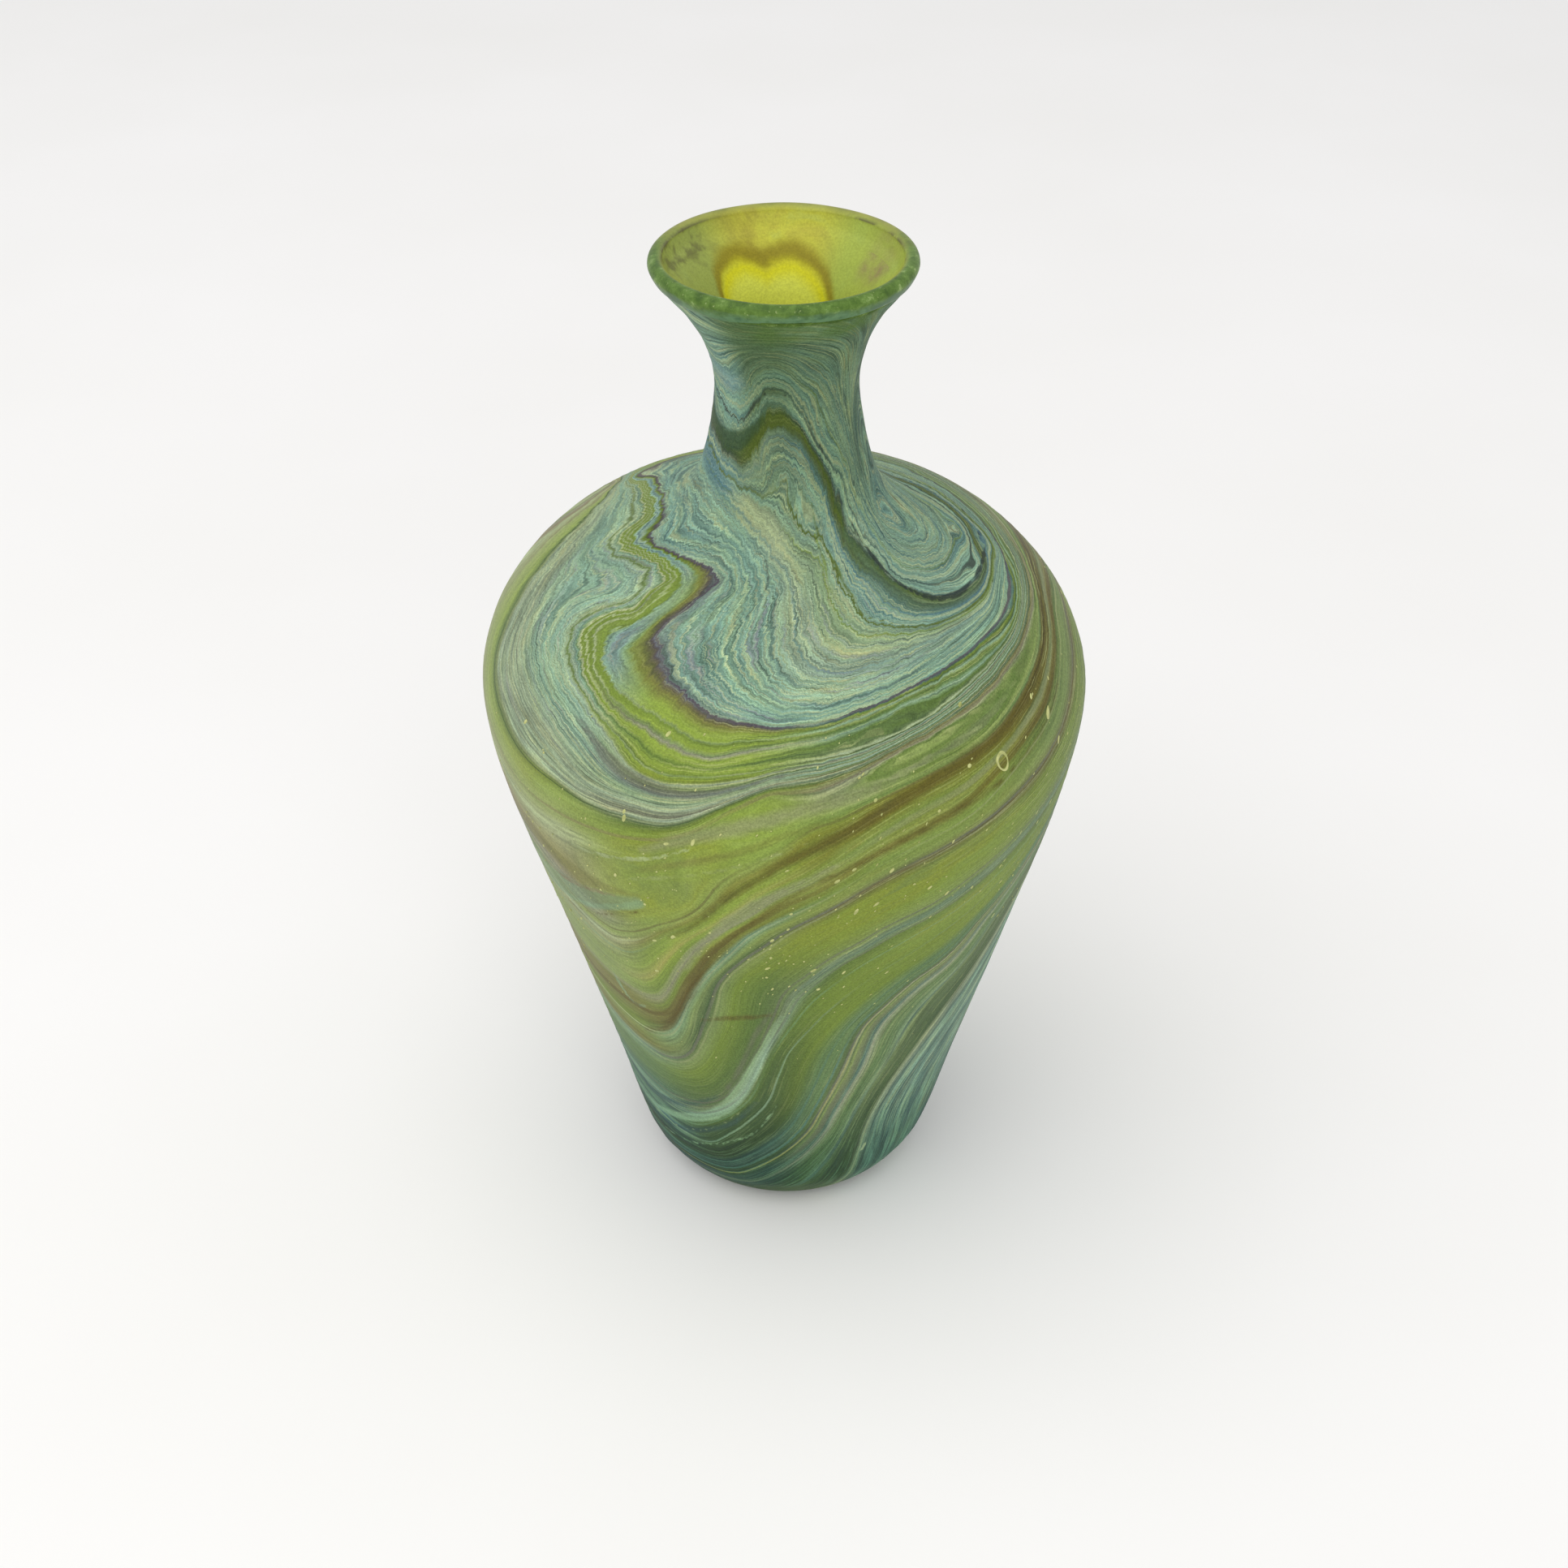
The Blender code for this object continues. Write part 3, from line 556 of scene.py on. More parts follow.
def along_streams(band, up_step, radius):
    """A coordinate that rises by about 1 a millimetre along the streams and hardly across them.

    It is the least-squares answer on every second row and column, by conjugate gradients.
    """
    rise_up, rise_round = slopes(band, up_step, radius)
    size = np.hypot(rise_up, rise_round) + 1e-6
    go_up, go_round = (rise_round / size)[::2, ::2], (-rise_up / size)[::2, ::2]
    tall = 2 * up_step
    wide = 2 * np.radians(360 / OVERLAY_COLUMNS) * radius[::2, ::2]
    want_up = (go_up[1:] + go_up[:-1]) / 2 * tall
    want_round = (go_round[:, 1:] + go_round[:, :-1]) / 2 * wide[:, 1:]
    weight_up = (wide[1:] + wide[:-1]) / 2 / tall
    weight_round = tall / wide[:, 1:]

    def gather(up_part, round_part):
        total = np.zeros(go_up.shape)
        total[1:] += weight_up * up_part
        total[:-1] -= weight_up * up_part
        total[:, 1:] += weight_round * round_part
        total[:, :-1] -= weight_round * round_part
        return total

    answer = np.zeros(go_up.shape)
    left_over = gather(want_up, want_round)
    search = left_over.copy()
    strength = (left_over**2).sum()
    for _ in range(ALONG_ROUNDS):
        pushed = gather(np.diff(search, axis=0), np.diff(search, axis=1))
        share = strength / (search * pushed).sum()
        answer += share * search
        left_over -= share * pushed
        strength, before = (left_over**2).sum(), strength
        search = left_over + strength / before * search
    return doubled(doubled(answer, 0), 1)


def doubled(values, axis):
    """The values with a new one halfway between each two, and the last repeated."""
    values = np.moveaxis(values, axis, 0)
    full = np.repeat(values, 2, 0)
    full[1:-1:2] = (values[:-1] + values[1:]) / 2
    return np.moveaxis(full, 0, axis)


def crinkle_at(d, u):
    """How strongly the bands are shaken: most on the shoulder and the left of the neck."""
    shoulder = between(u, 140, 152, 200, 216)
    calm_right = around(d, 80, 30, 20) * (1 - step(u, 160, 166))
    ribbon = around(d, -48, 24, 16) * between(u, 128, 142, 160, 175)
    neck_left = around(d, -45, 28, 16) * between(u, 186, 192, 206, 214)
    crinkle = 0.07 + 0.9 * shoulder * (1 - 0.85 * calm_right) + 0.2 * step(u, 125, 145) * (1 - shoulder)
    return np.clip(crinkle * (1 - 0.4 * step(u, 186, 196)) + 0.3 * ribbon + 0.6 * neck_left, 0, 1.3)


def overlay_values(d, u, band, up_step):
    """What the marbled material reads at each place (degrees, millimetres up) of the overlay's outside."""
    radius = outline_at(u)[0] / MM
    spacing = np.hypot(*slopes(band, up_step, radius))
    thread, density = thread_of(band)
    thread_spacing = spacing * density
    values = {
        "band": band, "spacing": spacing, "thread": thread, "thread_spacing": thread_spacing,
        "along": along_streams(band, up_step, radius),
        "squeezed": step(thread_spacing, 1.5, 3.5),
        "lined": between(u, 102, 120, 160, 172) * around(d, 45, 80, 28) * step(thread_spacing, 0.8, 1.6),
        "crinkle": crinkle_at(d, u),
        "left": around(d, -85, 38, 22),
        "right": around(d, 80, 68, 20),
        "seam": around(d, 180, 14, 18),
        "neck": step(u, 192, 216),
        "lip": step(u + 0.5 * np.cos(np.radians(d - 30)), 224.0, 225.6),
        "flare": around(d, 18, 22, 22) * step(u, 216, 221),
        # Darker on the front and right of the neck, from the top of the shoulder up.
        "darker_neck": around(d, 60, 75, 35) * step(u, 176, 190),
        # Darker towards the bottom, partly painted shade; the threads there change colour too.
        "foot": (1 - step(u, 6, 50)) * (0.25 + 0.75 * step(u, 2, 14)),
        "mauve": around(d, -25, 45, 30) * between(u, 128, 136, 165, 180),
        "clear": around(d, -5, 42, 25) * between(u, 80, 105, 128, 142),
    }
    wall = on_wall(d, u)
    values.update({f"stroke_{name}": stroke_depth(wall, stroke[-1]) for name, stroke in STROKES.items()})
    return values


def make_overlay(field):
    """The marbled outer layer, as one closed skin that is dense on its outside."""
    degrees = np.arange(OVERLAY_COLUMNS) * 360 / OVERLAY_COLUMNS - 180
    up_outer = np.linspace(OVERLAY_START, WALL_LENGTH - 0.2, OUTER_ROWS)
    d, u = np.meshgrid(degrees, up_outer)
    band = field_at(on_wall(d, u), field).reshape(d.shape)
    outer = drifted(on_wall(d, u, overlay_relief(d, u, band) - VISUAL_INSET))
    up_inner = np.linspace(WALL_LENGTH - 0.6, OVERLAY_START + 0.5, INNER_ROWS)
    d_inner, u_inner = np.meshgrid(degrees, up_inner)
    inner = drifted(on_wall(d_inner, u_inner, -towards_lip(u_inner, OVERLAY, OVERLAY_LIP)))
    piece = grid_mesh("marbled_overlay_skin", np.concatenate([outer, inner]))
    values = overlay_values(d, u, band, up_outer[1] - up_outer[0])
    hidden = np.ones(d_inner.size)
    add_values(piece, {name: np.concatenate([v.ravel(), hidden * v[-1, -1]]) for name, v in values.items()})
    return piece


def towards_lip(up, low, at_lip):
    """A thickness that is low in the body and changes to its value at the lip just below it."""
    return np.interp(up, [WALL_LENGTH - LIP_FADE, WALL_LENGTH], [low, at_lip])


def wall_thickness(up):
    """The thickness of the whole wall."""
    return towards_lip(up, WALL, LIP_WALL)


def profile_at(up, out):
    """The wall's section, out metres outside the outline, as (radius, height) rows."""
    radius, height = outline_at(up)
    normal_r, normal_z = outline_normal(up)
    return np.stack([radius + normal_r * out, height + normal_z * out], -1)


def turned(profile, columns, swell=None):
    """Rows of points from a profile turned about the axis; swell scales each column's section."""
    angle = np.radians(np.arange(columns) * 360 / columns - 180)
    profile = np.asarray(profile)
    reach = np.repeat(profile[:, :1], columns, 1)
    height = np.repeat(profile[:, 1:], columns, 1)
    if swell is not None:
        reach = BEAD_RADIUS + (reach - BEAD_RADIUS) * swell(angle)
        height = BEAD_HEIGHT + (height - BEAD_HEIGHT) * swell(angle)
    return drifted(np.stack([reach * np.sin(angle), -reach * np.cos(angle), height], -1)), np.degrees(angle)


# The upper edge of the patch of painted light inside the neck, as (degrees, millimetres up the wall).
PAINTED_LIGHT_EDGE = [
    (100, 196), (126, 206), (140, 211.5), (148, 214), (161, 216.5), (172, 217.6),
    (181, 217.7), (188, 217.2), (194, 216.4), (200, 217.4), (209, 218.3), (219, 218), (228, 216.8),
    (234, 215), (240, 212), (252, 206), (270, 196),
]


def add_inside_values(piece, degrees, up, inside):
    """What the inner material reads: the depth of the painted light patch, which side a point is on, and
    where it is inside.
    """
    edge = np.interp(degrees % 360, *np.array(PAINTED_LIGHT_EDGE, float).T, left=190, right=190)
    right_stroke = around(degrees, 112, 6, 12) * between(up, 215.5, 219, 222.5, 225)
    add_values(piece, {
        "patch": np.clip(edge - up, -20, 20) - 12 * (1 - step(up, 186, 204)),
        "inside": inside,
        "far": around(degrees, 180, 50, 45),
        "near_left": around(degrees, -110, 15, 35),
        "near_right": around(degrees, 115, 22, 30),
        "stroke_left": around(degrees, -112, 18, 16) * step(up, 217, 223),
        "stroke_right": right_stroke,
    })


# The foot from its middle outwards, as (radius, height).
FOOT_SECTION = [
    (0.0005, KICK_DEPTH), (0.5 * KICK_FLAT, KICK_DEPTH), (KICK_FLAT, KICK_DEPTH), (0.0125, 0.0016),
    (0.0155, 0.0007), (STANDING_RADIUS, 0.0), (0.0215, 0.0), (0.0238, 0.0),
]
FLOOR_ROUND = 0.010


def inside_floor(start_r, start_z):
    """The inside's section from the wall's low end there, round to the floor's middle."""
    section = []
    for turn in np.linspace(0.15, 1, 8) * math.pi / 2:
        drop = (start_z - FLOOR_TOP) * math.sin(turn)
        section.append((start_r - FLOOR_ROUND * (1 - math.cos(turn)), start_z - drop))
    for share in (0.75, 0.5, 0.25, 0.02):
        section.append(((start_r - FLOOR_ROUND) * share, FLOOR_TOP))
    return section


def make_bubble():
    """The green bubble inside: inner wall, floor, kicked-up foot and the wall hidden by the overlay."""
    inner_up = np.linspace(WALL_LENGTH, 12, 190)
    profile = list(profile_at(inner_up, -wall_thickness(inner_up)))
    profile += inside_floor(*profile[-1])
    inside_count = len(profile)
    outer_up = np.linspace(OVERLAY_START - 0.1, WALL_LENGTH - 0.4, 60)
    outer = profile_at(outer_up, -towards_lip(outer_up, 1.25 * OVERLAY, 0.75 * MM))
    profile += [*FOOT_SECTION, *outer]
    rows, degrees = turned(profile, BUBBLE_COLUMNS)
    piece = grid_mesh("green_glass_bubble", rows)
    up = np.zeros(len(profile))
    up[:len(inner_up)] = inner_up
    inside = np.arange(len(profile)) < inside_count
    add_inside_values(piece, *np.meshgrid(degrees, up), np.meshgrid(degrees, inside)[1])
    return piece


def make_bead():
    """The fire-polished rim: a thick soft lip that grows out of the wall on both its sides."""
    lip = profile_at([222.4, 223.6, 224.6, 225.3], np.array([-0.6, -0.2, -0.05, 0.0]) * MM)
    turn = np.radians([-18, 10, 40, 75, 110, 145, 180])
    ring = np.stack([BEAD_RADIUS - BEAD_INSET + BEAD_SECTION * np.cos(turn),
                     BEAD_HEIGHT - BEAD_INSET + BEAD_SECTION * np.sin(turn)], -1)
    inner_up = np.array([223.4, 221.6, 219.4])
    inner_lip = profile_at(inner_up, -wall_thickness(inner_up) + np.array([-0.12, -0.04, 0.3]) * MM)
    outline = smooth_outline([*lip, *ring, *inner_lip], 5)
    core = profile_at([222.0], np.array([-1.2 * MM]))
    profile = np.concatenate([outline, core])

    def swell(angle):
        return 1 - 0.04 * (1 + np.sin(angle * 3 + 1)) - 0.02 * (1 + np.sin(angle * 7 + 2))

    rows, degrees = turned(profile, BEAD_COLUMNS, swell)
    piece = grid_mesh("fire_polished_rim", rows)
    d, inwards = np.meshgrid(degrees, np.linspace(0, 1, len(profile)))
    add_inside_values(piece, d, np.full(d.shape, 224.0), step(inwards, 0.56, 0.74))
    add_values(piece, {"top": step(inwards, 0.18, 0.42)})
    return piece


def make_scar():
    """The broken pontil mark under the foot: a rough disc with a chipped edge."""
    rng = np.random.default_rng(SEED)
    angle = np.radians(np.arange(SCAR_COLUMNS) * 360 / SCAR_COLUMNS)
    edge = 1 - 0.10 * np.abs(np.sin(angle * 4 + 0.7)) - rng.uniform(0, 0.07, SCAR_COLUMNS)

    def row(share, height):
        reach = SCAR_RADIUS * share * edge
        return np.stack([reach * np.cos(angle), -reach * np.sin(angle), height], -1)

    rows = []
    for share, low in ((0.02, 0.9), (0.3, 0.8), (0.55, 0.85), (0.75, 0.75), (0.9, 0.85), (1.0, 1.15)):
        rough = rng.uniform(-0.12, 0.12, SCAR_COLUMNS) * (share > 0.1)
        rows.append(row(share, (low + rough) * MM))
    for share in (1.0, 0.5, 0.02):
        rows.append(row(0.97 * share, np.full(SCAR_COLUMNS, SCAR_TOP)))
    return grid_mesh("pontil_scar_chip", np.array(rows))


# The blister's place, half widths and lean, and its section as (share of the half widths, height), all in
# millimetres and degrees.
BLISTER_PLACE = (43.0, 129.4)
BLISTER_HALF_WIDTHS = (1.25, 1.9)
BLISTER_LEAN = -20
BLISTER_SECTION = [(0.02, -0.06), (0.6, -0.05), (0.8, 0.01), (0.86, 0.12), (0.93, 0.16), (1.0, 0.11),
                   (1.07, -0.05), (1.07, -0.4), (0.5, -0.4), (0.02, -0.4)]
# The seeds' number, the middle and the spread of their heights, and the heights they keep between.
SEED_COUNT = 640
SEED_HEIGHT = 104
SEED_SPREAD = 20
SEED_LIMITS = (28, 142)
# The larger seeds, as (degrees, millimetres up, half length, half width, lean in degrees); in millimetres.
LARGE_SEEDS = [(35.5, 131.5, 0.45, 0.4, 0), (58.5, 131.3, 1.5, 0.55, 60), (60, 125, 1.0, 0.3, 70),
               (-29, 124, 0.9, 0.4, 75), (-21, 121, 0.6, 0.35, 30), (12, 117, 0.5, 0.3, 45)]


def wall_frame(degrees, up):
    """The wall's point there, and its directions round, up and out."""
    centre = drifted(on_wall(degrees, up, -VISUAL_INSET - 0.02 * MM))
    angle = math.radians(degrees)
    round_way = np.array([math.cos(angle), math.sin(angle), 0.0])
    normal_r, normal_z = outline_normal(up)
    out = np.array([normal_r * math.sin(angle), -normal_r * math.cos(angle), normal_z])
    return centre, round_way, np.cross(out, round_way), out


def make_blister():
    """A gas bubble that burst at the surface: a raised oval ring round a shallow pit."""
    centre, right_way, up_way, out = wall_frame(*BLISTER_PLACE)
    lean = math.radians(BLISTER_LEAN)
    long_way = math.cos(lean) * up_way + math.sin(lean) * right_way
    short_way = math.cos(lean) * right_way - math.sin(lean) * up_way
    turn = np.radians(np.arange(0, 360, 7.5))
    wobble = 1 + 0.07 * np.sin(turn * 2 + 0.5) + 0.05 * np.sin(turn * 3)
    rows = []
    half_short, half_long = BLISTER_HALF_WIDTHS
    for size, height in BLISTER_SECTION:
        flat = np.outer(half_short * size * wobble * np.cos(turn), short_way)
        flat = flat + np.outer(half_long * size * wobble * np.sin(turn), long_way)
        rows.append(centre + (flat + height * out) * MM)
    return grid_mesh("burst_blister", np.array(rows))


def seed_sizes():
    """Each seed, as in LARGE_SEEDS; most of them are drawn by chance, and crowd on the front."""
    rng = np.random.default_rng(SEED)
    seeds = list(LARGE_SEEDS)
    for _ in range(SEED_COUNT):
        degrees = rng.choice([rng.uniform(-180, 180), 55 * rng.normal()])
        up = SEED_HEIGHT + SEED_SPREAD * rng.normal() + 12 * math.sin(math.radians(degrees))
        up = min(max(up, SEED_LIMITS[0]), SEED_LIMITS[1])
        half_width = rng.uniform(0.10, 0.20) * rng.choice([1, 1, 1, 1, 1.8])
        lean = rng.uniform(30, 75)
        seeds.append((degrees, up, half_width * rng.uniform(1.0, 2.6), half_width, lean))
    return seeds


def make_seeds():
    """Small pale gas seeds, drawn out along the streams and just proud of the surface."""
    build = bmesh.new()
    for degrees, up, half_length, half_width, lean in seed_sizes():
        centre, round_way, up_way, out = wall_frame(degrees, up)
        lean = math.radians(lean)
        long_way = math.cos(lean) * round_way + math.sin(lean) * up_way
        axes = [long_way * half_length, np.cross(out, long_way) * half_width, out * 0.09]
        basis = Matrix([[axes[column][row] * MM for column in range(3)] for row in range(3)]).to_4x4()
        place = Matrix.Translation(Vector(centre)) @ basis
        fineness = 2 if half_width > 0.25 else 1
        bmesh.ops.create_icosphere(build, subdivisions=fineness, radius=1.0, matrix=place)
    mesh = bpy.data.meshes.new("gas_seeds")
    build.to_mesh(mesh)
    build.free()
    mesh.shade_smooth()
    return add_object("gas_seeds", mesh)


# ---------------------------------------------------------------- material helpers

def linear(hex_colour):
    """A linear RGBA colour from an sRGB hex string."""
    channels = [int(hex_colour[i:i + 2], 16) / 255 for i in (0, 2, 4)]
    return [c / 12.92 if c <= 0.04045 else ((c + 0.055) / 1.055) ** 2.4 for c in channels] + [1.0]


class Nodes:
    """A short way to write a material's nodes: an input is a socket, a number or a colour."""

    def __init__(self, name):
        self.material = bpy.data.materials.new(name)
        self.material.use_nodes = True
        self.tree = self.material.node_tree
        self.tree.nodes.clear()

    def plug(self, socket, value):
        if isinstance(value, bpy.types.NodeSocket):
            self.tree.links.new(value, socket)
        else:
            socket.default_value = linear(value) if isinstance(value, str) else value

    def add(self, kind, inputs=(), **settings):
        node = self.tree.nodes.new(kind)
        for key, value in settings.items():
            setattr(node, key, value)
        for key, value in dict(inputs).items():
            self.plug(node.inputs[key], value)
        return node

    def value(self, name):
        return self.add("ShaderNodeAttribute", attribute_name=name).outputs["Fac"]

    def place(self):
        return self.add("ShaderNodeTexCoord").outputs["Object"]

    def math(self, operation, a, b=0.0, c=0.0):
        return self.add("ShaderNodeMath", {0: a, 1: b, 2: c}, operation=operation).outputs[0]

    def times(self, product, *factors):
        for factor in factors:
            product = self.math("MULTIPLY", product, factor)
        return product

    def spread(self, x, low, high, to_low=0.0, to_high=1.0, smooth=False):
        """Takes low to high onto to_low to to_high, and holds the ends beyond."""
        kind = "SMOOTHSTEP" if smooth else "LINEAR"
        return self.add("ShaderNodeMapRange", {0: x, 1: low, 2: high, 3: to_low, 4: to_high},
                        interpolation_type=kind).outputs[0]

    def noise(self, vector, scale, detail=2.0, roughness=0.5, w=None, distortion=0.0):
        inputs = {"Vector": vector, "Scale": scale, "Detail": detail, "Roughness": roughness,
                  "Distortion": distortion}
        if w is None:
            return self.add("ShaderNodeTexNoise", inputs, noise_dimensions="3D").outputs["Fac"]
        return self.add("ShaderNodeTexNoise", {**inputs, "W": w}, noise_dimensions="4D").outputs["Fac"]

    def ramp(self, x, stops):
        """A colour ramp; a stop is (place, sRGB hex, alpha). Gives its colour and its alpha."""
        node = self.add("ShaderNodeValToRGB", {0: x})
        elements = node.color_ramp.elements
        while len(elements) < len(stops):
            elements.new(0.5)
        for element, (position, colour, alpha) in zip(elements, stops):
            element.position = position
            element.color = linear(colour)[:3] + [alpha]
        return node.outputs["Color"], node.outputs["Alpha"]

    def tones(self, x, *stops):
        """The colour of a ramp through stops of (place, sRGB hex)."""
        return self.ramp(x, [(position, colour, 1) for position, colour in stops])[0]

    def mix(self, share, a, b, blend="MIX"):
        node = self.add("ShaderNodeMix", data_type="RGBA", blend_type=blend, clamp_factor=True)
        for key, value in ((0, share), (6, a), (7, b)):
            self.plug(node.inputs[key], value)
        return node.outputs[2]

    def mix_value(self, share, a, b):
        return self.add("ShaderNodeMix", {0: share, 2: a, 3: b}, data_type="FLOAT").outputs[0]

    def tint(self, share, colour, glass):
        """The colour as seen through that share of a coloured glass."""
        return self.mix(share, colour, self.mix(1.0, colour, glass, "MULTIPLY"))

    def finish(self, colour, roughness, bump=None, bump_distance=0.0002, bump_strength=0.5, **constants):
        """The material: its colour and roughness, and a bump from a height if one is given."""
        shader = self.add("ShaderNodeBsdfPrincipled", {"Base Color": colour, "Roughness": roughness})
        for key, value in constants.items():
            shader.inputs[key.replace("_", " ")].default_value = value
        if bump is not None:
            node = self.add("ShaderNodeBump", {"Height": bump, "Distance": bump_distance,
                                               "Strength": bump_strength})
            self.tree.links.new(node.outputs["Normal"], shader.inputs["Normal"])
        output = self.add("ShaderNodeOutputMaterial")
        self.tree.links.new(shader.outputs[0], output.inputs[0])
        return self.material


def hex_between(share, first, second):
    """The sRGB hex colour that lies that share of the way from the first to the second."""
    pairs = [(int(first[i:i + 2], 16), int(second[i:i + 2], 16)) for i in (0, 2, 4)]
    return "".join(f"{round(a + share * (b - a)):02x}" for a, b in pairs)


def band_at(bands, value):
    """The colour and the enamel share at a band value, between the given bands."""
    for (low, low_colour, low_enamel), (high, high_colour, high_enamel) in zip(bands, bands[1:]):
        if low <= value <= high:
            share = (value - low) / (high - low)
            enamel = low_enamel + share * (high_enamel - low_enamel)
            return hex_between(share, low_colour, high_colour), enamel
    return bands[-1][1:]


def stops(bands, low, high):
    """Colour ramp stops, as (place, colour, enamel share), for the part of the bands in that range."""
    bands = [(value, GLASS[glass], enamel) for value, glass, enamel in bands]
    inside = [band for band in bands if low < band[0] < high]
    inside = [(low, *band_at(bands, low)), *inside, (high, *band_at(bands, high))]
    return [((value - low) / (high - low), colour, enamel) for value, colour, enamel in inside]


# ---------------------------------------------------------------- materials

# Thin lines of glass along one band value, as (band value, glass, half width in millimetres, strength,
# the side it is limited to or None).
VEINS = [
    (175.2, "ink", 0.28, 0.9, None), (162.8, "lagoon", 0.22, 0.6, None),
    (160.9, "cream", 0.3, 0.6, None), (157.5, "hunter", 0.3, 0.9, None),
    (155.5, "olive", 0.22, 0.7, "right"), (147.3, "pine", 0.22, 0.9, "left"),
    (147.4, "pine", 0.18, 0.5, None), (151.7, "slate", 0.3, 0.5, None), (153.1, "olive", 0.15, 0.6, "left"),
    (166.9, "ink", 0.25, 0.4, "right"), (177.6, "cream", 0.35, 0.6, None),
    (181.5, "olive", 0.25, 0.6, "right"), (185, "celadon", 0.4, 0.5, "right"),
    (188.3, "slate", 0.35, 0.5, "right"), (179.4, "slate", 0.3, 0.5, None), (144, "plum", 0.3, 0.8, None),
    (128.9, "forest", 0.25, 0.7, None), (126.4, "clay", 0.5, 0.5, None), (122.3, "earth", 0.35, 0.6, None),
    (121.3, "cream", 0.25, 0.8, "left"), (119.9, "celadon", 0.3, 0.7, "left"), (113, "dust", 0.9, 0.5, None),
    (109, "umber", 0.9, 0.6, None), (105.6, "cream", 0.35, 0.9, "left"), (105.2, "lichen", 0.3, 0.5, None),
    (101.5, "smoke", 0.45, 0.8, None), (100.4, "lichen", 0.3, 0.5, None), (83.4, "smoke", 0.35, 0.7, None),
    (80.6, "sage", 0.5, 0.4, None), (78, "smoke", 0.4, 0.5, None), (72.5, "jade", 0.3, 0.4, None),
    (66, "slate", 0.35, 0.6, "left"), (62, "mint", 0.4, 0.8, "left"), (61.5, "willow", 0.3, 0.6, None),
    (50, "forest", 0.8, 0.5, "left"), (37, "pond", 0.4, 0.6, None), (30, "slate", 0.4, 0.6, None),
    (25.2, "straw", 0.25, 0.6, None), (21, "smoke", 0.9, 0.7, "right"), (17, "dust", 0.3, 0.6, None),
    (9, "bottle", 0.6, 0.6, "right"), (2, "lichen", 0.3, 0.7, "right"),
]


def by_side(n, left, centre, right, mixer):
    """One of three colours or values, by the side of the vase, with soft joins."""
    return mixer(n.value("right"), mixer(n.value("left"), centre, left), right)


def band_colours(n, band):
    """The bands' colour and enamel share, from one ramp for each range of bands on each side."""
    colour = enamel = None
    for low, high in BAND_RANGES:
        place_in_range = n.spread(band, low, high)
        ramps = [n.ramp(place_in_range, stops(bands, low, high)) for bands in BANDS.values()]
        range_colour = by_side(n, *[ramp[0] for ramp in ramps], n.mix)
        range_enamel = by_side(n, *[ramp[1] for ramp in ramps], n.mix_value)
        if colour is None:
            colour, enamel = range_colour, range_enamel
        else:
            beyond = n.math("GREATER_THAN", band, float(low))
            colour = n.mix(beyond, colour, range_colour)
            enamel = n.mix_value(beyond, enamel, range_enamel)
    return colour, enamel


def centred(n, noise, reach):
    """A noise turned into a number on both sides of 0, half that reach to each side at most."""
    return n.times(n.math("SUBTRACT", noise, 0.5), reach)


def shade(n, colour, low, high, noise, noise_low=0.35, noise_high=0.65):
    """The colour made darker and lighter by a noise."""
    factor = n.spread(noise, noise_low, noise_high, low, high)
    grey = n.add("ShaderNodeCombineColor", {0: factor, 1: factor, 2: factor}).outputs[0]
    return n.mix(1.0, colour, grey, "MULTIPLY")


def glaze_colour(n, place):
    """The dark green of the rim and of the flare below it."""
    mottle = n.noise(place, 420, 4, 0.7)
    colour = n.tones(mottle, (0.34, "435f27"), (0.48, "54712f"), (0.60, "64823c"), (0.74, "96ad6c"))
    return n.mix(n.spread(n.noise(place, 1500, 2, 0.6), 0.66, 0.74, 0.0, 0.5), colour, "b0bd82")


def shaken_bands(n, place):
    """The band value and the thread coordinate, both pushed about by noises drawn out along the bands."""
    along = n.value("along")
    ripple = centred(n, n.noise(place, 60, 5, 0.68, w=n.times(along, 0.0065)), 3.8)
    jag = centred(n, n.noise(place, 130, 3, 0.7, w=n.times(along, 0.0115)), 1.6)
    loose = centred(n, n.noise(place, 210, 4, 0.62), 3.5)
    push = n.mix_value(n.value("seam"), n.math("ADD", ripple, jag), loose)
    sway = centred(n, n.noise(place, 55, 3, 0.5), 0.9)
    shift = n.math("MULTIPLY_ADD", push, n.value("crinkle"), sway)
    band = n.math("MULTIPLY_ADD", n.value("spacing"), shift, n.value("band"))
    thread = n.math("MULTIPLY_ADD", n.value("thread_spacing"), shift, n.value("thread"))
    return band, thread


def clouded(n, colour, enamel, streaks):
    """Brushy clouds of the enamel, from blue-grey through teal to cream."""
    cloud = n.math("MULTIPLY_ADD", streaks(90, 0.3, 3, 0.6), 0.45, n.times(streaks(50, 0.6, 5, 0.65), 0.55))
    cloud_colour = n.tones(cloud, (0.38, "42635f"), (0.44, "628681"), (0.48, "7a9d8f"), (0.52, "8bb096"),
                           (0.56, "9cb892"), (0.63, "bfc490"))
    return n.mix(n.spread(enamel, 0.45, 1.0, 0.0, 0.62), colour, cloud_colour)


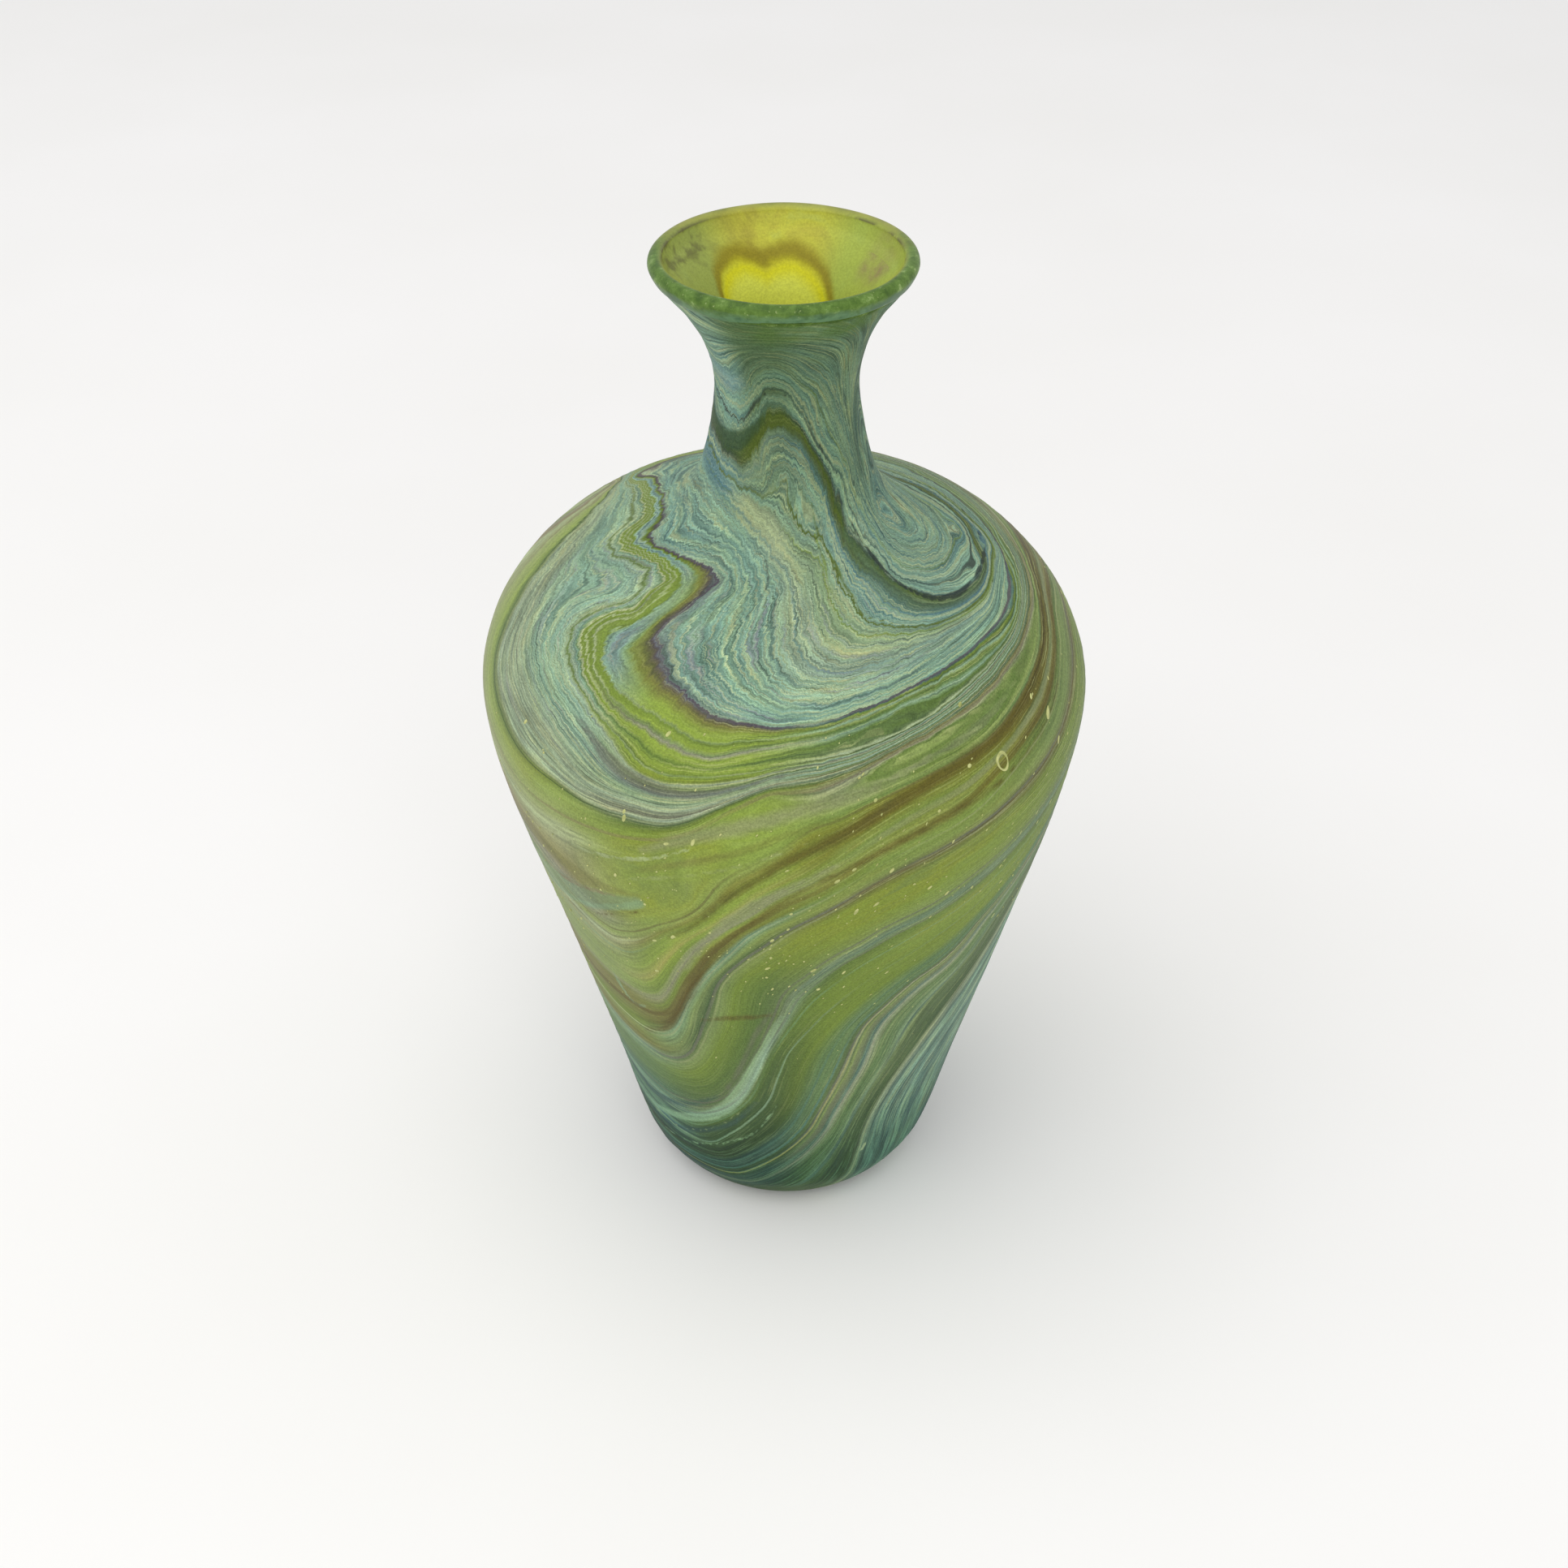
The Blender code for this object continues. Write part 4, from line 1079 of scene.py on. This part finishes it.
def threaded(n, colour, enamel, fine, finer):
    """Threads: fine light and dark lines along the bands, more of them at the foot and where it is lined.
    The foot is also darkened, partly for the glass's own colour and partly as painted shade.
    """
    foot = n.value("foot")
    lined = n.times(n.value("lined"), 0.5)
    sorts = (
        (n.spread(fine, 0.53, 0.60, smooth=True), n.mix(foot, "b4bb8a", "8db39c"), 0.09, 0.4, 0.5),
        (n.spread(fine, 0.47, 0.40, smooth=True), n.mix(foot, "394b3a", "23454c"), 0.16, 0.6, 0.48),
    )
    for line, glass, in_clear, at_foot, in_enamel in sorts:
        clear_share = n.math("MAXIMUM", n.mix_value(foot, in_clear, at_foot), lined)
        colour = n.mix(n.times(line, n.mix_value(enamel, clear_share, in_enamel)), colour, glass)
    grain = n.mix_value(enamel, n.mix_value(foot, 0.25, 0.7), 1.0)
    colour = n.mix(grain, colour, shade(n, colour, 0.52, 1.38, finer))
    # Darker and bluer towards the foot: partly the glass's own colour, partly painted shade.
    return n.tint(n.times(foot, 0.6), colour, "8fa6a0")


def hazed(n, colour, enamel, streaks):
    """Mauve wisps through the enamel, and soft clouds of yellow, lime and mauve in the clear front."""
    wisps = n.spread(streaks(60, 0.9, 4, 0.65), 0.53, 0.64, 0.0, 0.45, smooth=True)
    colour = n.mix(n.times(wisps, n.spread(enamel, 0.5, 1.0), n.value("mauve")), colour, "8f8a98")
    drift_colour = n.tones(streaks(26, 0.10, 4, 0.6), (0.36, "7d8a55"), (0.43, "949a3c"), (0.50, "8b9c46"),
                           (0.58, "94a95a"), (0.66, "a8ad5a"))
    return n.mix(n.times(n.spread(enamel, 0.35, 0.0, 0.0, 0.5), n.value("clear")), colour, drift_colour)


def stroked(n, colour, place, fine):
    """The strokes laid over the bands, each shaded by the threads."""
    edge = centred(n, n.noise(place, 260, 3, 0.6), 0.9)
    for name, (glass, softness, strength, _) in STROKES.items():
        depth = n.math("ADD", n.value(f"stroke_{name}"), edge)
        mask = n.spread(depth, -0.5 * softness, 0.5 * softness, 0.0, strength, smooth=True)
        colour = n.mix(mask, colour, shade(n, GLASS[glass], 0.8, 1.2, fine))
    return colour


def veined(n, colour, place, band):
    """The veins, which fade in and out along the bands."""
    spacing = n.value("spacing")
    fades = n.noise(place, 45, 2, 0.5)
    for value, glass, half_width, strength, side in VEINS:
        away = n.math("DIVIDE", n.math("ABSOLUTE", n.math("SUBTRACT", band, value)), spacing)
        line = n.spread(away, half_width, 0.4 * half_width, smooth=True)
        line = n.times(line, n.spread(fades, 0.32, 0.52, 0.25 * strength, strength))
        if side:
            line = n.times(line, n.value(side))
        colour = n.mix(line, colour, GLASS[glass])
    return colour


def glazed(n, colour, place, left):
    """The green glaze over the flare and the neck, which covers the marbling at the lip."""
    patch = n.spread(n.noise(place, 120, 3, 0.6), 0.35, 0.6, 0.2, 0.8)
    colour = n.mix(n.times(n.value("flare"), patch), colour, "66863c")
    colour = n.mix(n.times(n.value("neck"), n.spread(left, 0.0, 1.0, 0.25, 0.05)), colour, "526c3c")
    lip = n.value("lip")
    ragged = n.math("MULTIPLY_ADD", n.noise(place, 150, 4, 0.65), 0.9, lip)
    covered = n.times(n.spread(ragged, 0.62, 1.05, 0.0, 0.96, smooth=True), n.spread(lip, 0.0, 0.15))
    return n.mix(covered, colour, glaze_colour(n, place))


def marbled_material():
    """Combed bands of coloured glass: opaque teal and cream enamel over clear olive green."""
    n = Nodes("marbled_glass")
    place = n.place()
    band, thread = shaken_bands(n, place)

    def streaks(scale, per_thread, detail, roughness):
        return n.noise(place, scale, detail, roughness, w=n.times(thread, per_thread / scale))

    colour, enamel = band_colours(n, band)
    colour = clouded(n, colour, enamel, streaks)
    fine = n.mix_value(n.value("squeezed"), streaks(70, 2.3, 3, 0.65), streaks(60, 0.8, 3, 0.7))
    colour = threaded(n, colour, enamel, fine, streaks(110, 4.0, 3, 0.65))
    colour = hazed(n, colour, enamel, streaks)
    colour = stroked(n, colour, place, fine)
    colour = veined(n, colour, place, band)
    left = n.value("left")
    colour = glazed(n, colour, place, left)

    # Less blue in the clear green; darker towards the foot, partly the glass's own colour and partly painted
    # shade; and darker on the front and right of the neck.
    less_blue = n.times(n.spread(enamel, 0.7, 0.1), n.spread(left, 0.0, 1.0, 1.0, 0.7))
    colour = n.tint(less_blue, colour, "f6f8de")
    colour = n.tint(n.value("foot"), colour, "c8e6dc")
    colour = n.tint(n.value("darker_neck"), colour, "dfe0d3")
    speckle = n.noise(place, 2600, 2, 0.7)
    colour = shade(n, colour, 0.80, 1.20, speckle, 0.32, 0.68)
    height = n.math("MULTIPLY_ADD", speckle, 0.25, fine)
    rough = n.mix_value(enamel, 0.46, 0.62)
    return n.finish(colour, rough, height, 0.0003, 0.35, IOR=1.5, Specular_IOR_Level=0.12)


def inner_colour(n, place):
    """The yellow-olive inner face, with a patch of painted light in the neck for the light that shines
    through the far wall, outlined by a dark edge that is partly a brown band and partly painted shadow.
    """
    streak = n.noise(place, 75, 4, 0.62, distortion=0.8)
    colour = n.tones(streak, (0.32, "a19a3f"), (0.45, "b2ae42"), (0.55, "bcbd45"), (0.68, "b0bb5c"))
    colour = n.mix(n.times(n.value("near_left"), 0.85), colour, "8f9f55")
    colour = n.mix(n.times(n.value("near_right"), 0.85), colour, "9cae50")
    depth = n.math("ADD", n.value("patch"), centred(n, n.noise(place, 300, 2, 0.5), 1.6))
    # The dark edge round the patch: partly a brown band in the glass, partly painted shadow.
    dark_band_and_shade = n.times(n.spread(depth, -4.2, -1.4, smooth=True), n.spread(depth, 0.9, -0.3, smooth=True))
    colour = n.mix(n.times(dark_band_and_shade, 0.9), colour, "8a7f22")
    # Painted light: bright yellow where light shining through the far wall is painted on.
    colour = n.mix(n.spread(depth, -1.2, 1.6, smooth=True), colour, "cdca24")
    colour = n.mix(n.spread(depth, 1.2, 4.5, 0.0, 0.85, smooth=True), colour, "cfd65a")
    wisp = n.noise(place, 300, 3, 0.7)
    colour = n.mix(n.times(n.value("stroke_left"), n.spread(wisp, 0.48, 0.62, 0.0, 0.75)), colour, "64643c")
    colour = n.mix(n.times(n.value("stroke_right"), n.spread(wisp, 0.35, 0.6, 0.2, 0.8)), colour, "8d7a5c")
    return shade(n, colour, 0.9, 1.1, n.noise(place, 2400, 2, 0.7))


def bubble_material():
    """The inner bubble: yellow-olive inside and dark green under the foot."""
    n = Nodes("green_glass")
    place = n.place()
    under = n.tones(n.noise(place, 140, 4, 0.65), (0.38, "47614a"), (0.5, "557653"), (0.64, "74936a"))
    colour = n.mix(n.value("inside"), under, inner_colour(n, place))
    ripple = n.noise(place, 300, 3, 0.6)
    return n.finish(colour, 0.45, ripple, 0.0003, 0.15, IOR=1.5, Specular_IOR_Level=0.12)


def bead_material():
    """Dark green glass, fire-polished, which turns yellow-olive where light comes through from behind."""
    n = Nodes("bead_glass")
    place = n.place()
    top = n.value("top")
    inside = n.value("inside")
    ring = glaze_colour(n, place)
    lit = n.tones(n.noise(place, 200, 3, 0.6), (0.35, "87894a"), (0.6, "a3a355"))
    ring = n.mix(n.times(n.value("far"), top, 0.85), ring, lit)
    under = n.tones(n.noise(place, 110, 4, 0.7), (0.40, "47663c"), (0.5, "688a66"), (0.6, "48684c"))
    low_side = n.math("ADD", top, centred(n, n.noise(place, 170, 3, 0.6), 1.6))
    ring = n.mix(n.spread(low_side, 0.75, 0.25, 0.0, 0.85), ring, under)
    colour = n.mix(inside, ring, inner_colour(n, place))
    torn = n.spread(n.noise(place, 180, 4, 0.7), 0.42, 0.55, 0.0, 0.8)
    inner_edge = n.times(n.spread(inside, 0.3, 0.8), n.spread(inside, 1.0, 0.85))
    near = n.math("ADD", n.value("near_left"), n.value("near_right"))
    colour = n.mix(n.times(inner_edge, near, torn), colour, "5f5a42")
    return n.finish(colour, 0.4, n.noise(place, 260, 4, 0.65), 0.0002, 0.3, IOR=1.5, Specular_IOR_Level=0.15)


def seed_material():
    """Pale yellow gas seeds and the rim of the blister."""
    n = Nodes("seed_glass")
    mottle = n.noise(n.place(), 500, 3, 0.6)
    colour = n.tones(mottle, (0.3, "989f5c"), (0.6, "c3c684"))
    return n.finish(colour, 0.45, mottle, 0.0002, 0.3, IOR=1.5, Specular_IOR_Level=0.15)


def scar_material():
    """The rough glass where the iron was broken off."""
    n = Nodes("scar_glass")
    chip = n.noise(n.place(), 700, 4, 0.7)
    colour = n.tones(chip, (0.35, "4c6138"), (0.55, "71894d"), (0.7, "a8b487"))
    return n.finish(colour, 0.3, chip, 0.0006, 0.6, IOR=1.5, Specular_IOR_Level=0.5)


def floor_material():
    """The plain off-white table top."""
    n = Nodes("studio_floor")
    colour = n.tones(n.noise(n.place(), 6, 3, 0.5), (0.3, "f4f3f1"), (0.7, "f7f6f5"))
    return n.finish(colour, 0.9, IOR=1.45, Specular_IOR_Level=0.1)


# ---------------------------------------------------------------- stage

LOOK_AT = Vector((0, 0, 0.0893))
CAMERA_DISTANCE = 0.4303
CAMERA_ELEVATION = math.radians(36.21)
CAMERA_ROLL = math.radians(-0.2)
CAMERA_SHIFT = -0.0009
LENS = 50
SENSOR = 36
FLOOR_HALF = 3
WORLD_COLOUR = (0.985, 0.99, 1.0, 1)
WORLD_STRENGTH = 0.735
# The lights, as (place, diameter, watts, colour).
LIGHTS = {
    "overhead": ((-0.42, -0.3, 1.4), 1.9, 9.2, (1.0, 0.985, 0.965)),
    "front": ((0.25, -1.25, 0.75), 1.0, 3.4, (1.0, 0.99, 0.975)),
}


def make_camera():
    """The camera that took the picture, as fitted to the vase's outline in it."""
    data = bpy.data.cameras.new("camera")
    data.lens = LENS
    data.sensor_width = SENSOR
    data.clip_start = 0.01
    data.shift_x = CAMERA_SHIFT
    camera = add_object("camera", data)
    back = Vector((0, -math.cos(CAMERA_ELEVATION), math.sin(CAMERA_ELEVATION)))
    camera.location = LOOK_AT + back * CAMERA_DISTANCE
    aim = (LOOK_AT - camera.location).to_track_quat("-Z", "Y")
    camera.rotation_mode = "QUATERNION"
    camera.rotation_quaternion = aim @ Quaternion((0, 0, 1), CAMERA_ROLL)
    bpy.context.scene.camera = camera


def area_light(name, location, size, power, colour):
    """A round soft light that points at the vase."""
    data = bpy.data.lights.new(name, "AREA")
    data.shape = "DISK"
    data.size = size
    data.energy = power
    data.color = colour
    light = add_object(name, data)
    light.location = location
    light.rotation_euler = (LOOK_AT - light.location).to_track_quat("-Z", "Y").to_euler()


def make_stage():
    """The floor, the even light of the room and the two soft lights."""
    mesh = bpy.data.meshes.new("studio_floor")
    corners = [(x * FLOOR_HALF, y * FLOOR_HALF, 0) for x, y in ((-1, -1), (1, -1), (1, 1), (-1, 1))]
    mesh.from_pydata(corners, [], [(0, 1, 2, 3)])
    floor = add_object("studio_floor", mesh)
    floor.data.materials.append(floor_material())
    world = bpy.data.worlds.new("studio")
    world.use_nodes = True
    background = world.node_tree.nodes["Background"].inputs
    background["Color"].default_value = WORLD_COLOUR
    background["Strength"].default_value = WORLD_STRENGTH
    bpy.context.scene.world = world
    for name, light in LIGHTS.items():
        area_light(name, *light)
    bpy.context.scene.view_settings.view_transform = "Standard"


# ---------------------------------------------------------------- the vase

def dress(piece, material, node):
    """Gives a piece its material, hangs it under the root body, and hides the CAD part of the node it stands
    for, if any.
    """
    piece.data.materials.append(material)
    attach(piece, "root")
    if node:
        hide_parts(node)


make_stage()
make_camera()
dress(make_overlay(solve_field()), marbled_material(), "marbled_overlay")
dress(make_bubble(), bubble_material(), "inner_bubble")
dress(make_bead(), bead_material(), "rim_bead")
dress(make_scar(), scar_material(), "pontil_scar")
pale_glass = seed_material()
dress(make_blister(), pale_glass, None)
dress(make_seeds(), pale_glass, None)
